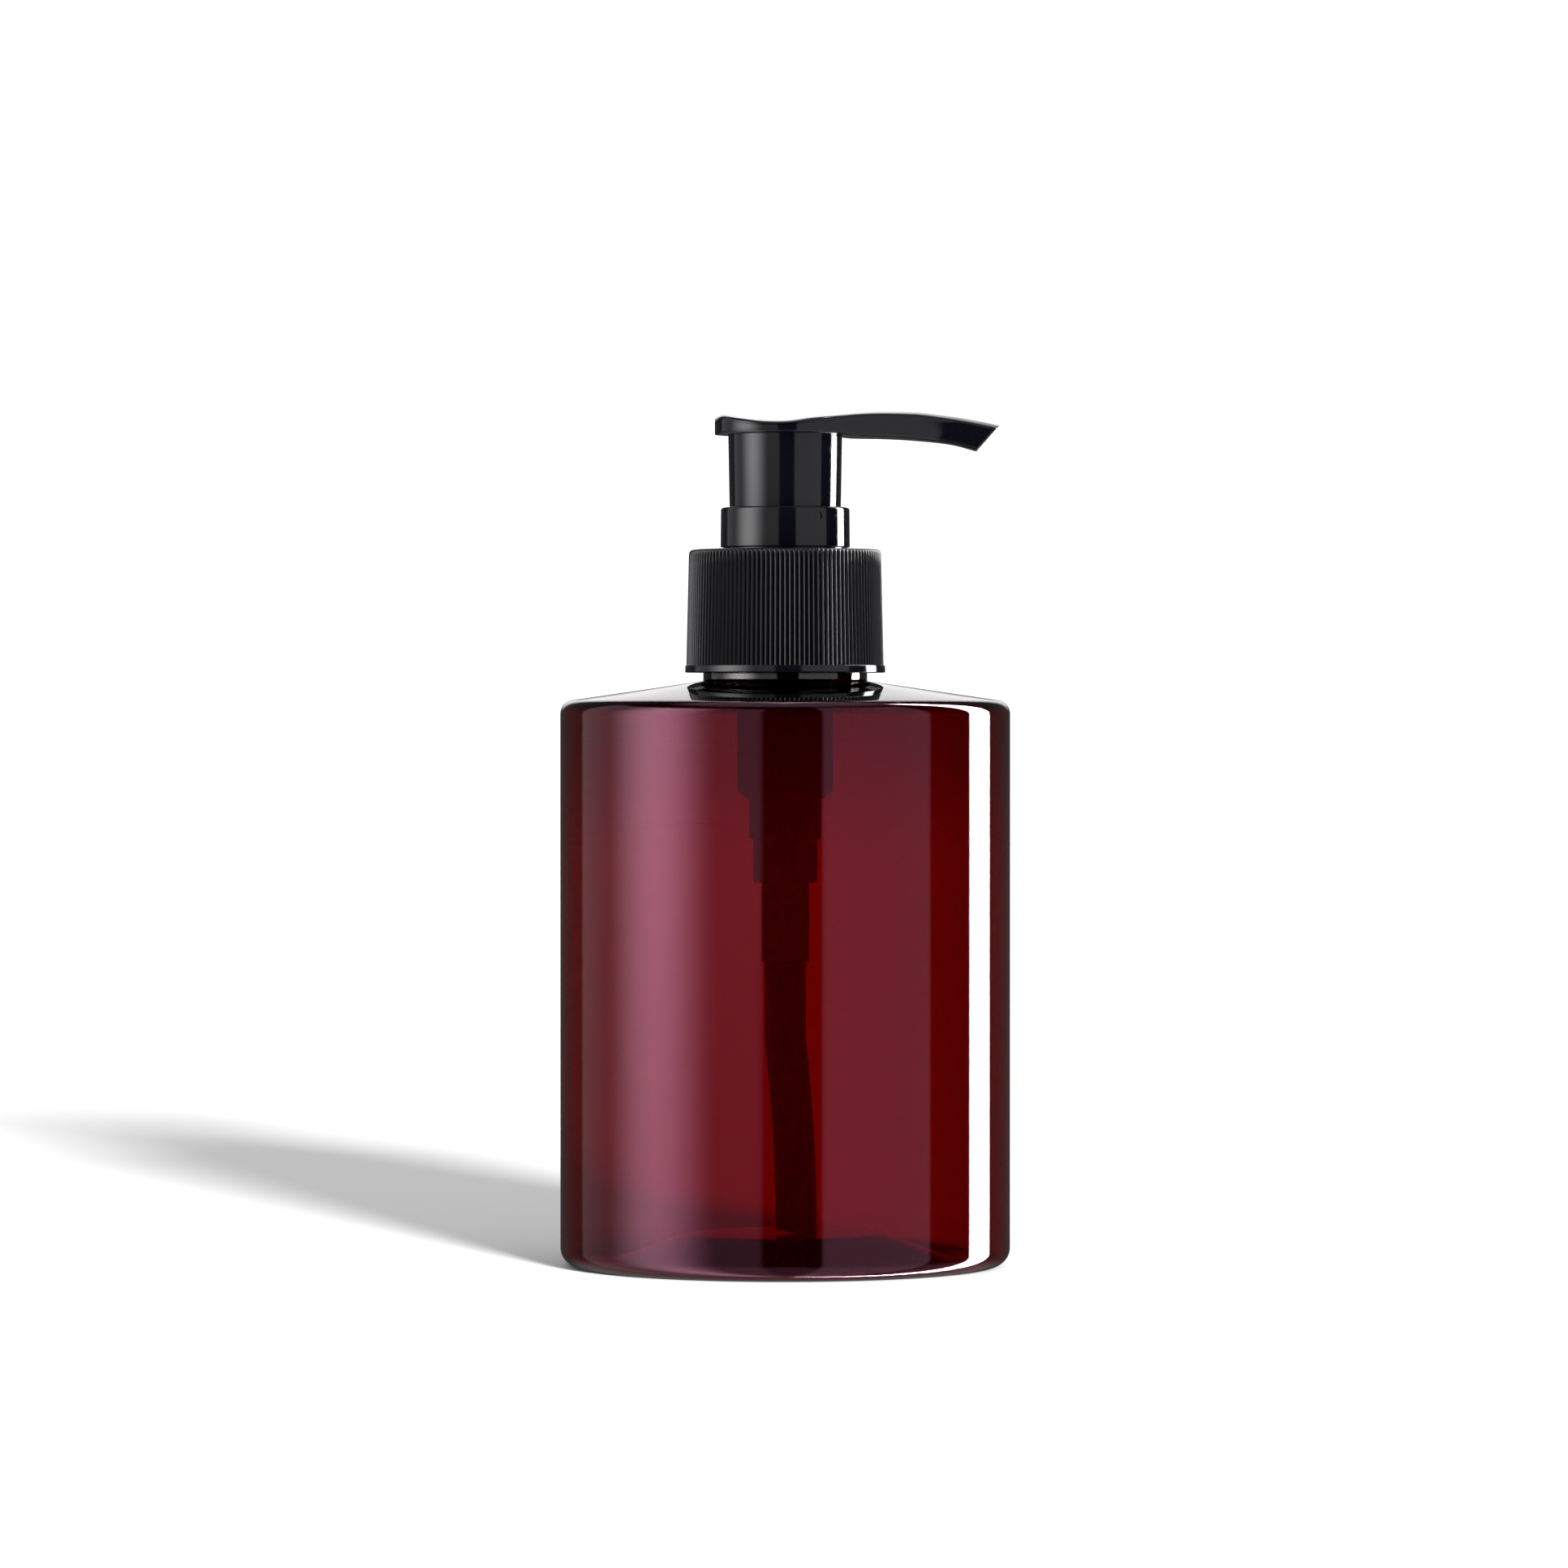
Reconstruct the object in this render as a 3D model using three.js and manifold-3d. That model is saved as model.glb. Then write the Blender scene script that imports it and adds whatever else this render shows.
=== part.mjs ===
// Lotion pump dispenser: an empty see-through bottle with a screw-on hand pump.
// Millimetres, +Z up. The origin is the centre of the bottle's foot, and the nozzle points along +X.
import * as THREE from 'three';
import { mergeVertices } from 'three/addons/utils/BufferGeometryUtils.js';
import Module from 'manifold-3d';

const wasm = await Module();
wasm.setup();

// ---------- driving dimensions ----------

const TURN = 2 * Math.PI;
const degrees = (angle) => (angle * Math.PI) / 180;

// bottle body
const BODY_R = 37.5;
const WALL = 0.9;
const HEEL_R = 3.0;
const EDGE_R = 2.3;
const EDGE_CENTRE_Z = 92.0;
const FOOT_INNER_R = 31.0;
const PUSH_UP_RISE = 3.9;
const SHOULDER_SLOPE = degrees(8.6);

// bottle neck, to the common 28 mm screw finish
const NECK_BEAD_R = 13.67;
const NECK_WALL_R = 12.6;
const NECK_BORE_R = 11.5;
const NECK_FOOT_Z = 97.5;
const NECK_BEAD_TOP_Z = 99.6;
const NECK_TOP_Z = 115.1;

// thread, right-handed, six turns to the inch
const PITCH = 4.23;
const THREAD_TURNS = 1.25;
const BOTTLE_THREAD_R = 13.75;
const BOTTLE_THREAD_Z = 106.4;
const CLOSURE_THREAD_R = 13.1;
const CLOSURE_THREAD_Z = 104.1;
const THREAD_ROOT = 1.9;
const THREAD_CREST = 1.1;

// closure
const CLOSURE_BOTTOM_Z = 98.85;
const CLOSURE_TOP_Z = 119.4;
const CLOSURE_FLANGE_R = 16.7;
const CLOSURE_BORE_R = 14.25;
const CLOSURE_HOLE_R = 10.55;
const CLOSURE_CEILING_Z = 117.7;
const RIB_COUNT = 126;
const RIB_DEPTH = 0.28;
const RIB_BOTTOM_Z = 100.1;
const RIB_TOP_Z = 118.5;
const RIB_TOP_R = 16.15;
const RIB_BOTTOM_R = 16.5;

// stack in the neck
const GAP = 0.06;
const GASKET_T = 0.9;
const GASKET_INNER_R = 11.9;
const FLANGE_R = 13.3;
const FLANGE_Z = NECK_TOP_Z + GASKET_T + 2 * GAP;
const FLANGE_TOP_Z = CLOSURE_CEILING_Z - GAP;

// pump housing, from the top down: cup, pump chamber, spring pocket, ball chamber, tube socket
const CUP_R = 11.3;
const CUP_BORE_R = 10.5;
const CUP_BOTTOM_Z = 112.0;
const CUP_FLOOR_Z = 112.9;
const CHAMBER_R = 8.0;
const CHAMBER_BORE_R = 7.12;
const CHAMBER_BOTTOM_Z = 79.4;
const POCKET_R = 6.0;
const POCKET_BORE_R = 5.15;
const POCKET_TOP_Z = 77.9;
const POCKET_BOTTOM_Z = 71.3;
const POCKET_FLOOR_Z = 72.0;
const BALL_CHAMBER_R = 5.35;
const BALL_CHAMBER_BOTTOM_Z = 63.9;
const BALL_BORE_R = 3.7;
const THROAT_R = 2.75;
const THROAT_Z = 69.3;
const SEAT_TOP_Z = 66.0;
const SEAT_BOTTOM_Z = 63.6;
const SEAT_HOLE_R = 2.0;
const SOCKET_R = 4.0;
const SOCKET_BORE_R = 3.52;
const SOCKET_TOP_Z = 62.8;
const SOCKET_BOTTOM_Z = 50.7;
const VENT_R = 0.6;
const VENT_Z = 109.0;

// ball and dip tube
const BALL_R = 3.0;
const BALL_Z = 66.06;
const TUBE_R = 3.45;
const TUBE_BORE_R = 2.6;
const TUBE_TOP_Z = 62.5;
const TUBE_BEND_Z = 38.0;
const TUBE_TIP_Z = 5.6;
const TUBE_TIP_X = 1.9;
const TUBE_CUT = degrees(9);

// lock collar
const RING_R = 10.8;
const RING_BOTTOM_Z = 119.7;
const RING_TOP_Z = 126.4;
const RING_ROUND = 1.1;
const WELL_R = 10.3;
const WELL_BORE_R = 9.72;
const WELL_FLOOR_Z = 114.2;
const WELL_BOTTOM_Z = 113.2;
const GUIDE_R = 5.6;
const GUIDE_BORE_R = 4.2;
const GUIDE_BOTTOM_Z = 105.7;
const DOT_R = 0.6;
const DOT_Z = 124.8;
const DOT_ANGLE = degrees(-56);
const DOT_RISE = 0.25;

// stem, piston rod and piston seal
const STEM_R = 4.0;
const STEM_BORE_R = 2.6;
const STEM_BOTTOM_Z = 99.3;
const STEM_TOP_Z = 137.0;
const STOP_R = 4.75;
const STOP_BOTTOM_Z = 104.3;
const STOP_TOP_Z = 105.6;
const ROD_R = 1.7;
const ROD_TOP_Z = 108.5;
const ROD_FIN_R = 2.54;
const ROD_FIN_T = 0.9;
const VALVE_R = 5.2;
const VALVE_BOTTOM_Z = 94.6;
const VALVE_EDGE_Z = 95.6;
const VALVE_CONE_Z = 97.6;
const SEAL_R = 7.03;
const SEAL_WAIST_R = 6.2;
const SEAL_HUB_R = 4.95;
const SEAL_BORE_R = 4.08;
const SEAL_BOTTOM_Z = 96.4;
const SEAL_HUB_TOP_Z = 103.0;
const SEAL_TOP_Z = 104.6;

// spring
const WIRE_R = 0.45;
const SPRING_R = 4.3;
const SPRING_TURNS = 8;
const SPRING_BOTTOM_Z = POCKET_FLOOR_Z + GAP;
const SPRING_TOP_Z = VALVE_BOTTOM_Z - GAP;

// actuator head
const REST_R = 11.8;
const REST_BOTTOM_Z = 138.5;
const SKIRT_TOP_R = 9.5;
const SKIRT_BOTTOM_R = 9.27;
const SKIRT_BORE_R = 8.4;
const SKIRT_BOTTOM_Z = 125.4;
const ROOF_Z = 139.3;
const STEM_SOCKET_R = 5.4;
const STEM_SOCKET_BORE_R = 4.05;
const STEM_SOCKET_BOTTOM_Z = 126.6;
const STEM_STOP_Z = 137.2;
const STEM_STOP_R = 2.6;
const CHANNEL_R = 1.35;
const NOZZLE_ROOT_HALF = 5.4;
const NOZZLE_TIP_HALF = 3.7;
const NOZZLE_ROOT_X = 16;
const NOZZLE_TIP_X = 35.7;
const REST_BLEND_ANGLE = degrees(39);

// facet counts round a full turn
const WIDE = 48;
const MIDDLE = 32;
const FINE = 24;

// ---------- helpers ----------

const point = (x, y) => new THREE.Vector2(x, y);

// points on an arc from one angle to the other, ends included
function arc(x, y, radius, from, to, steps) {
  const points = [];
  for (let i = 0; i <= steps; i += 1) {
    const angle = from + ((to - from) * i) / steps;
    points.push(point(x + radius * Math.cos(angle), y + radius * Math.sin(angle)));
  }
  return points;
}

// welds a geometry into an indexed closed surface and loads it as a solid
function solid(geometry) {
  const bare = new THREE.BufferGeometry();
  bare.setAttribute('position', geometry.getAttribute('position'));
  bare.setIndex(geometry.getIndex());
  const welded = mergeVertices(bare, 1e-4);
  const index = welded.getIndex().array;
  const corners = [];
  for (let i = 0; i < index.length; i += 3) {
    const [a, b, c] = [index[i], index[i + 1], index[i + 2]];
    if (a !== b && b !== c && c !== a) {
      corners.push(a, b, c);
    }
  }
  const vertProperties = Float32Array.from(welded.getAttribute('position').array);
  let made = new wasm.Manifold(
    new wasm.Mesh({ numProp: 3, vertProperties, triVerts: Uint32Array.from(corners) }),
  );
  if (made.volume() < 0) {
    const flipped = corners.map((_, i) => corners[i - (i % 3) + 2 - (i % 3)]);
    made = new wasm.Manifold(
      new wasm.Mesh({ numProp: 3, vertProperties, triVerts: Uint32Array.from(flipped) }),
    );
  }
  return made;
}

// a solid as a named mesh with its own material
function piece(name, shape, color, roughness, metalness = 0, opacity = 1) {
  const { vertProperties, triVerts } = shape.getMesh();
  const geometry = new THREE.BufferGeometry();
  geometry.setAttribute('position', new THREE.BufferAttribute(vertProperties, 3));
  geometry.setIndex(new THREE.BufferAttribute(triVerts, 1));
  geometry.computeVertexNormals();
  const material = new THREE.MeshStandardMaterial({
    color,
    roughness,
    metalness,
    opacity,
    transparent: opacity < 1,
    flatShading: true,
  });
  const mesh = new THREE.Mesh(geometry, material);
  mesh.name = name;
  return mesh;
}

// turns a closed (radius, height) profile about the Z axis
function turned(profile, segments) {
  const closed = [...profile, profile[0].clone()];
  return solid(new THREE.LatheGeometry(closed, segments).rotateX(Math.PI / 2));
}

// turns a profile that starts and ends on the axis
function turnedFull(profile, segments) {
  return solid(new THREE.LatheGeometry(profile, segments).rotateX(Math.PI / 2));
}

function ring(outer, inner, bottom, top, segments) {
  const profile = [point(inner, bottom), point(outer, bottom), point(outer, top), point(inner, top)];
  return turned(profile, segments);
}

function rod(radius, bottom, top, segments) {
  const profile = [point(0, bottom), point(radius, bottom), point(radius, top), point(0, top)];
  return turnedFull(profile, segments);
}

// bends a straight bar of the given (radius, height) section into a right-hand helix;
// swell gives how far the section stands out at each fraction of the length
function helix(section, axisR, bottom, pitch, turns, stepsPerTurn, swell = () => 1) {
  const steps = Math.round(turns * stepsPerTurn);
  const bar = new THREE.ExtrudeGeometry(section, { depth: 1, steps, bevelEnabled: false });
  const position = bar.getAttribute('position');
  for (let i = 0; i < position.count; i += 1) {
    const along = position.getZ(i);
    const angle = along * turns * TURN;
    const radius = axisR + position.getX(i) * swell(along);
    const height = bottom + position.getY(i) + along * turns * pitch;
    position.setXYZ(i, radius * Math.cos(angle), radius * Math.sin(angle), height);
  }
  return solid(bar);
}

// ---------- bottle ----------

// the thread ridge: a trapezium that stands out from (or in from) the wall and fades at both ends
function threadRidge(wallR, crestR, bottom) {
  const sink = crestR > wallR ? -0.3 : 0.3;
  const rise = crestR - wallR;
  const section = new THREE.Shape([
    point(sink, -THREAD_ROOT / 2),
    point(0, -THREAD_ROOT / 2),
    point(rise, -THREAD_CREST / 2),
    point(rise, THREAD_CREST / 2),
    point(0, THREAD_ROOT / 2),
    point(sink, THREAD_ROOT / 2),
  ]);
  const fade = 0.07;
  const swell = (along) => Math.min(1, 0.25 + Math.min(along, 1 - along) / fade);
  return helix(section, wallR, bottom, PITCH, THREAD_TURNS, FINE, swell);
}

function bottle() {
  const edgeAngle = Math.PI / 2 - SHOULDER_SLOPE;
  const edgeX = BODY_R - EDGE_R;
  const innerR = BODY_R - WALL;
  const neckFillet = 0.5;
  const outer = [
    point(0, PUSH_UP_RISE),
    point(FOOT_INNER_R * 0.55, PUSH_UP_RISE * 0.72),
    point(FOOT_INNER_R * 0.88, PUSH_UP_RISE * 0.25),
    point(FOOT_INNER_R, 0),
    ...arc(BODY_R - HEEL_R, HEEL_R, HEEL_R, -Math.PI / 2, 0, 4),
    ...arc(edgeX, EDGE_CENTRE_Z, EDGE_R, 0, edgeAngle, 4),
    point(NECK_BEAD_R + neckFillet, NECK_FOOT_Z),
    point(NECK_BEAD_R, NECK_FOOT_Z + neckFillet),
    point(NECK_BEAD_R, NECK_BEAD_TOP_Z),
    point(NECK_WALL_R, NECK_BEAD_TOP_Z + 0.6),
    point(NECK_WALL_R, NECK_TOP_Z),
  ];
  const inner = [
    point(NECK_BORE_R, NECK_TOP_Z),
    point(NECK_BORE_R, NECK_FOOT_Z),
    point(NECK_BEAD_R, NECK_FOOT_Z - WALL),
    ...arc(edgeX, EDGE_CENTRE_Z, EDGE_R - WALL, edgeAngle, 0, 3),
    ...arc(BODY_R - HEEL_R, HEEL_R, HEEL_R - WALL, 0, -Math.PI / 2, 3),
    point(FOOT_INNER_R, WALL),
    point(FOOT_INNER_R * 0.88, PUSH_UP_RISE * 0.25 + WALL),
    point(FOOT_INNER_R * 0.55, PUSH_UP_RISE * 0.72 + WALL),
    point(0, PUSH_UP_RISE + WALL),
  ];
  const shell = turnedFull([...outer, ...inner], WIDE);
  const thread = threadRidge(NECK_WALL_R, BOTTLE_THREAD_R, BOTTLE_THREAD_Z);
  return piece('bottle', shell.add(thread), 0x6a0f1e, 0.06, 0, 0.6);
}

// ---------- closure ----------

// a prism with one V groove between each two ribs, a little narrower at the top
function ribbedSleeve() {
  const outline = [];
  for (let i = 0; i < RIB_COUNT * 2; i += 1) {
    const radius = RIB_BOTTOM_R - (i % 2) * RIB_DEPTH;
    const angle = (i * TURN) / (RIB_COUNT * 2);
    outline.push(point(radius * Math.cos(angle), radius * Math.sin(angle)));
  }
  const height = RIB_TOP_Z - RIB_BOTTOM_Z;
  const sleeve = new THREE.ExtrudeGeometry(new THREE.Shape(outline), {
    depth: height,
    bevelEnabled: false,
  });
  const position = sleeve.getAttribute('position');
  for (let i = 0; i < position.count; i += 1) {
    const draft = 1 - (1 - RIB_TOP_R / RIB_BOTTOM_R) * (position.getZ(i) / height);
    position.setX(i, position.getX(i) * draft);
    position.setY(i, position.getY(i) * draft);
  }
  return solid(sleeve.translate(0, 0, RIB_BOTTOM_Z));
}

function closure() {
  const rootR = RIB_TOP_R - RIB_DEPTH - 0.1;
  const core = turnedFull(
    [
      point(0, CLOSURE_BOTTOM_Z),
      point(CLOSURE_FLANGE_R, CLOSURE_BOTTOM_Z),
      point(CLOSURE_FLANGE_R, RIB_BOTTOM_Z),
      point(rootR, RIB_BOTTOM_Z),
      point(rootR, RIB_TOP_Z - 0.1),
      point(rootR - 0.2, CLOSURE_TOP_Z - 0.35),
      point(rootR - 0.6, CLOSURE_TOP_Z),
      point(0, CLOSURE_TOP_Z),
    ],
    WIDE,
  );
  const bore = rod(CLOSURE_BORE_R, CLOSURE_BOTTOM_Z - 1, CLOSURE_CEILING_Z, WIDE);
  const hole = rod(CLOSURE_HOLE_R, CLOSURE_CEILING_Z - 1, CLOSURE_TOP_Z + 1, WIDE);
  const thread = threadRidge(CLOSURE_BORE_R, CLOSURE_THREAD_R, CLOSURE_THREAD_Z);
  const shape = core.add(ribbedSleeve()).subtract(bore).subtract(hole).add(thread);
  return piece('closure', shape, 0x121214, 0.42);
}

// ---------- pieces clamped in the neck ----------

function gasket() {
  const bottom = NECK_TOP_Z + GAP;
  const shape = ring(FLANGE_R - 0.1, GASKET_INNER_R, bottom, bottom + GASKET_T, MIDDLE);
  return piece('gasket', shape, 0xe9e9e6, 0.8);
}

function pumpHousing() {
  const outside = [
    point(SOCKET_BORE_R, SOCKET_BOTTOM_Z),
    point(SOCKET_R, SOCKET_BOTTOM_Z),
    point(SOCKET_R, BALL_CHAMBER_BOTTOM_Z),
    point(BALL_CHAMBER_R, BALL_CHAMBER_BOTTOM_Z),
    point(BALL_CHAMBER_R, POCKET_BOTTOM_Z),
    point(POCKET_R, POCKET_BOTTOM_Z),
    point(POCKET_R, POCKET_TOP_Z),
    point(CHAMBER_R, CHAMBER_BOTTOM_Z),
    point(CHAMBER_R, CUP_BOTTOM_Z),
    point(CUP_R, CUP_BOTTOM_Z),
    point(CUP_R, FLANGE_Z),
    point(FLANGE_R, FLANGE_Z),
    point(FLANGE_R, FLANGE_TOP_Z),
  ];
  const inside = [
    point(CUP_BORE_R, FLANGE_TOP_Z),
    point(CUP_BORE_R, CUP_FLOOR_Z),
    point(CHAMBER_BORE_R, CUP_FLOOR_Z),
    point(CHAMBER_BORE_R, CHAMBER_BOTTOM_Z),
    point(POCKET_BORE_R, POCKET_TOP_Z),
    point(POCKET_BORE_R, POCKET_FLOOR_Z),
    point(THROAT_R, POCKET_FLOOR_Z),
    point(THROAT_R, THROAT_Z),
    point(BALL_BORE_R, THROAT_Z),
    point(BALL_BORE_R, SEAT_TOP_Z),
    point(SEAT_HOLE_R, SEAT_BOTTOM_Z),
    point(SEAT_HOLE_R, SOCKET_TOP_Z),
    point(SOCKET_BORE_R, SOCKET_TOP_Z),
  ];
  const body = turned([...outside, ...inside], MIDDLE);
  const drill = new THREE.CylinderGeometry(VENT_R, VENT_R, 4, 8).translate(0, CHAMBER_R, VENT_Z);
  return piece('pump_housing', body.subtract(solid(drill)), 0xdedbd2, 0.35, 0, 0.85);
}

function lockCollar() {
  const corner = RING_R - RING_ROUND;
  const body = turned(
    [
      point(GUIDE_BORE_R, GUIDE_BOTTOM_Z),
      point(GUIDE_R, GUIDE_BOTTOM_Z),
      point(GUIDE_R, WELL_BOTTOM_Z),
      point(WELL_R, WELL_BOTTOM_Z),
      point(WELL_R, RING_BOTTOM_Z),
      point(RING_R, RING_BOTTOM_Z),
      ...arc(corner, RING_TOP_Z - RING_ROUND, RING_ROUND, 0, Math.PI / 2, 4),
      point(WELL_BORE_R - 0.02, RING_TOP_Z),
      point(WELL_BORE_R - 0.02, WELL_FLOOR_Z),
      point(GUIDE_BORE_R, WELL_FLOOR_Z),
    ],
    MIDDLE,
  );
  const dot = new THREE.CylinderGeometry(DOT_R * 0.8, DOT_R, 1, 12)
    .rotateZ(-Math.PI / 2)
    .translate(RING_R + DOT_RISE - 0.5, 0, DOT_Z)
    .rotateZ(DOT_ANGLE);
  return piece('lock_collar', body.add(solid(dot)), 0x0c0c0e, 0.14);
}

// ---------- valve pieces ----------

function inletBall() {
  const ball = new THREE.SphereGeometry(BALL_R, 20, 12).translate(0, 0, BALL_Z);
  return piece('inlet_ball', solid(ball), 0xb8bbc0, 0.15, 1);
}

// straight in the socket, then a gentle set towards +X, with a slanted cut at the tip
function dipTube() {
  const path = new THREE.CatmullRomCurve3([
    new THREE.Vector3(0, 0, TUBE_TOP_Z),
    new THREE.Vector3(0, 0, (TUBE_TOP_Z + TUBE_BEND_Z) / 2),
    new THREE.Vector3(0, 0, TUBE_BEND_Z),
    new THREE.Vector3(TUBE_TIP_X * 0.72, 0, TUBE_TIP_Z + 14),
    new THREE.Vector3(TUBE_TIP_X, 0, TUBE_TIP_Z - 2),
  ]);
  const section = new THREE.Shape().absarc(0, 0, TUBE_R, 0, TURN, false);
  section.holes.push(new THREE.Path().absarc(0, 0, TUBE_BORE_R, 0, TURN, true));
  const tube = new THREE.ExtrudeGeometry(section, {
    steps: 12,
    curveSegments: 8,
    extrudePath: path,
  });
  const reach = 6 * TUBE_R;
  const knife = new THREE.BoxGeometry(reach, reach, reach)
    .translate(0, 0, -reach / 2)
    .rotateY(TUBE_CUT)
    .translate(TUBE_TIP_X, 0, TUBE_TIP_Z);
  return piece('dip_tube', solid(tube).subtract(solid(knife)), 0xe4e2da, 0.3, 0, 0.8);
}

// ---------- moving inner pieces ----------

function mainStem() {
  const tube = ring(STEM_R, STEM_BORE_R, STEM_BOTTOM_Z, STEM_TOP_Z, FINE);
  const stop = ring(STOP_R, STEM_BORE_R + 0.5, STOP_BOTTOM_Z, STOP_TOP_Z, FINE);
  return piece('main_stem', tube.add(stop), 0xe6e3da, 0.35);
}

function pistonRod() {
  const shaft = turnedFull(
    [
      point(0, VALVE_BOTTOM_Z),
      point(VALVE_R, VALVE_BOTTOM_Z),
      point(VALVE_R, VALVE_EDGE_Z),
      point(ROD_R, VALVE_CONE_Z),
      point(ROD_R, ROD_TOP_Z),
      point(0, ROD_TOP_Z),
    ],
    FINE,
  );
  const finBottom = STEM_BOTTOM_Z + 0.5;
  const height = ROD_TOP_Z - finBottom;
  const fin = new THREE.BoxGeometry(2 * ROD_FIN_R, ROD_FIN_T, height);
  fin.translate(0, 0, finBottom + height / 2);
  const crossFin = fin.clone().rotateZ(Math.PI / 2);
  return piece('piston_rod', shaft.add(solid(fin)).add(solid(crossFin)), 0xe6e3da, 0.35);
}

function pistonSeal() {
  const lip = 1.0;
  const flare = 1.6;
  const lipInnerR = SEAL_R - 0.55;
  const webR = (SEAL_WAIST_R + SEAL_HUB_R) / 2;
  const lowerLipZ = SEAL_BOTTOM_Z + 0.8;
  const shape = turned(
    [
      point(SEAL_BORE_R, SEAL_BOTTOM_Z),
      point(SEAL_HUB_R, SEAL_BOTTOM_Z + 0.3),
      point(SEAL_HUB_R, lowerLipZ + 2 * flare),
      point(webR, lowerLipZ + 2 * flare),
      point(lipInnerR, lowerLipZ),
      point(SEAL_R, lowerLipZ),
      point(SEAL_R, lowerLipZ + lip),
      point(SEAL_WAIST_R, lowerLipZ + lip + flare),
      point(SEAL_WAIST_R, SEAL_TOP_Z - lip - flare),
      point(SEAL_R, SEAL_TOP_Z - lip),
      point(SEAL_R, SEAL_TOP_Z),
      point(lipInnerR, SEAL_TOP_Z),
      point(webR, SEAL_TOP_Z - flare - lip),
      point(SEAL_HUB_R, SEAL_TOP_Z - flare - lip),
      point(SEAL_HUB_R, SEAL_HUB_TOP_Z),
      point(SEAL_BORE_R, SEAL_HUB_TOP_Z),
    ],
    MIDDLE,
  );
  return piece('piston_seal', shape, 0xf2f0ea, 0.5);
}

function spring() {
  const section = new THREE.Shape(arc(0, 0, WIRE_R, 0, TURN * (5 / 6), 5));
  const bottom = SPRING_BOTTOM_Z + WIRE_R;
  const pitch = (SPRING_TOP_Z - SPRING_BOTTOM_Z - 2 * WIRE_R) / SPRING_TURNS;
  const shape = helix(section, SPRING_R, bottom, pitch, SPRING_TURNS, 12);
  return piece('spring', shape, 0xa9acb0, 0.28, 1);
}

// ---------- actuator head ----------

// seen from above: the round thumb rest, blended into a nozzle that narrows to its tip
function headPlan() {
  const blendX = REST_R * Math.cos(REST_BLEND_ANGLE);
  const blendY = REST_R * Math.sin(REST_BLEND_ANGLE);
  const pull = point(NOZZLE_ROOT_X * 0.72, NOZZLE_ROOT_HALF * 1.03);
  const plan = new THREE.Shape();
  plan.moveTo(NOZZLE_TIP_X + 1, -NOZZLE_TIP_HALF);
  plan.lineTo(NOZZLE_TIP_X + 1, NOZZLE_TIP_HALF);
  plan.lineTo(NOZZLE_ROOT_X, NOZZLE_ROOT_HALF);
  plan.quadraticCurveTo(pull.x, pull.y, blendX, blendY);
  plan.absarc(0, 0, REST_R, REST_BLEND_ANGLE, TURN - REST_BLEND_ANGLE, false);
  plan.quadraticCurveTo(pull.x, -pull.y, NOZZLE_ROOT_X, -NOZZLE_ROOT_HALF);
  plan.closePath();
  return plan;
}

// seen from the side: a dished thumb rest, a crest over the nozzle's root, and a drooping tip
function headSide() {
  const side = new THREE.Shape();
  side.moveTo(-REST_R - 1, REST_BOTTOM_Z);
  side.lineTo(-REST_R - 1, 141.0);
  side.splineThru([
    point(-10.5, 141.9),
    point(-1.5, 140.85),
    point(7.8, 141.8),
    point(16, 142.4),
    point(25.4, 141.9),
    point(NOZZLE_TIP_X, 140.1),
  ]);
  side.lineTo(31.9, 135.8);
  side.splineThru([point(26.4, 137.1), point(16, 137.95), point(10.1, REST_BOTTOM_Z)]);
  side.closePath();
  return side;
}

function actuatorHead() {
  const wide = 4 * REST_R;
  const plan = new THREE.ExtrudeGeometry(headPlan(), {
    depth: 12,
    curveSegments: 10,
    bevelEnabled: false,
  });
  plan.translate(0, 0, 133);
  const side = new THREE.ExtrudeGeometry(headSide(), {
    depth: wide,
    curveSegments: 4,
    bevelEnabled: false,
  });
  side.rotateX(Math.PI / 2).translate(0, wide / 2, 0);
  const top = solid(plan).intersect(solid(side));

  const skirt = turned(
    [
      point(SKIRT_BORE_R, SKIRT_BOTTOM_Z),
      point(SKIRT_BOTTOM_R, SKIRT_BOTTOM_Z),
      point(SKIRT_TOP_R, REST_BOTTOM_Z),
      point(SKIRT_TOP_R, ROOF_Z + 0.5),
      point(SKIRT_BORE_R, ROOF_Z + 0.5),
    ],
    MIDDLE,
  );
  const socket = rod(STEM_SOCKET_R, STEM_SOCKET_BOTTOM_Z, ROOF_Z + 0.5, FINE);
  const well = ring(SKIRT_BORE_R, STEM_SOCKET_R, REST_BOTTOM_Z - 1, ROOF_Z, MIDDLE);
  const socketBore = rod(STEM_SOCKET_BORE_R, STEM_SOCKET_BOTTOM_Z - 1, STEM_STOP_Z, FINE);
  const riser = rod(STEM_STOP_R, STEM_STOP_Z - 1, ROOF_Z, FINE);

  const flow = new THREE.CatmullRomCurve3([
    new THREE.Vector3(0, 0, 138.4),
    new THREE.Vector3(8, 0, 139.9),
    new THREE.Vector3(17, 0, 140.15),
    new THREE.Vector3(26, 0, 139.4),
    new THREE.Vector3(37, 0, 136.6),
  ]);
  const channel = new THREE.ExtrudeGeometry(
    new THREE.Shape().absarc(0, 0, CHANNEL_R, 0, TURN, false),
    { steps: 8, curveSegments: 5, extrudePath: flow },
  );
  const shape = top
    .subtract(well)
    .add(skirt)
    .add(socket)
    .subtract(socketBore)
    .subtract(riser)
    .subtract(solid(channel));
  return piece('actuator_head', shape, 0x0c0c0e, 0.16);
}

// ---------- assembly ----------

const dispenser = new THREE.Group();
dispenser.add(
  bottle(),
  closure(),
  gasket(),
  pumpHousing(),
  lockCollar(),
  dipTube(),
  inletBall(),
  spring(),
  mainStem(),
  pistonRod(),
  pistonSeal(),
  actuatorHead(),
);

export default dispenser;
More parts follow.
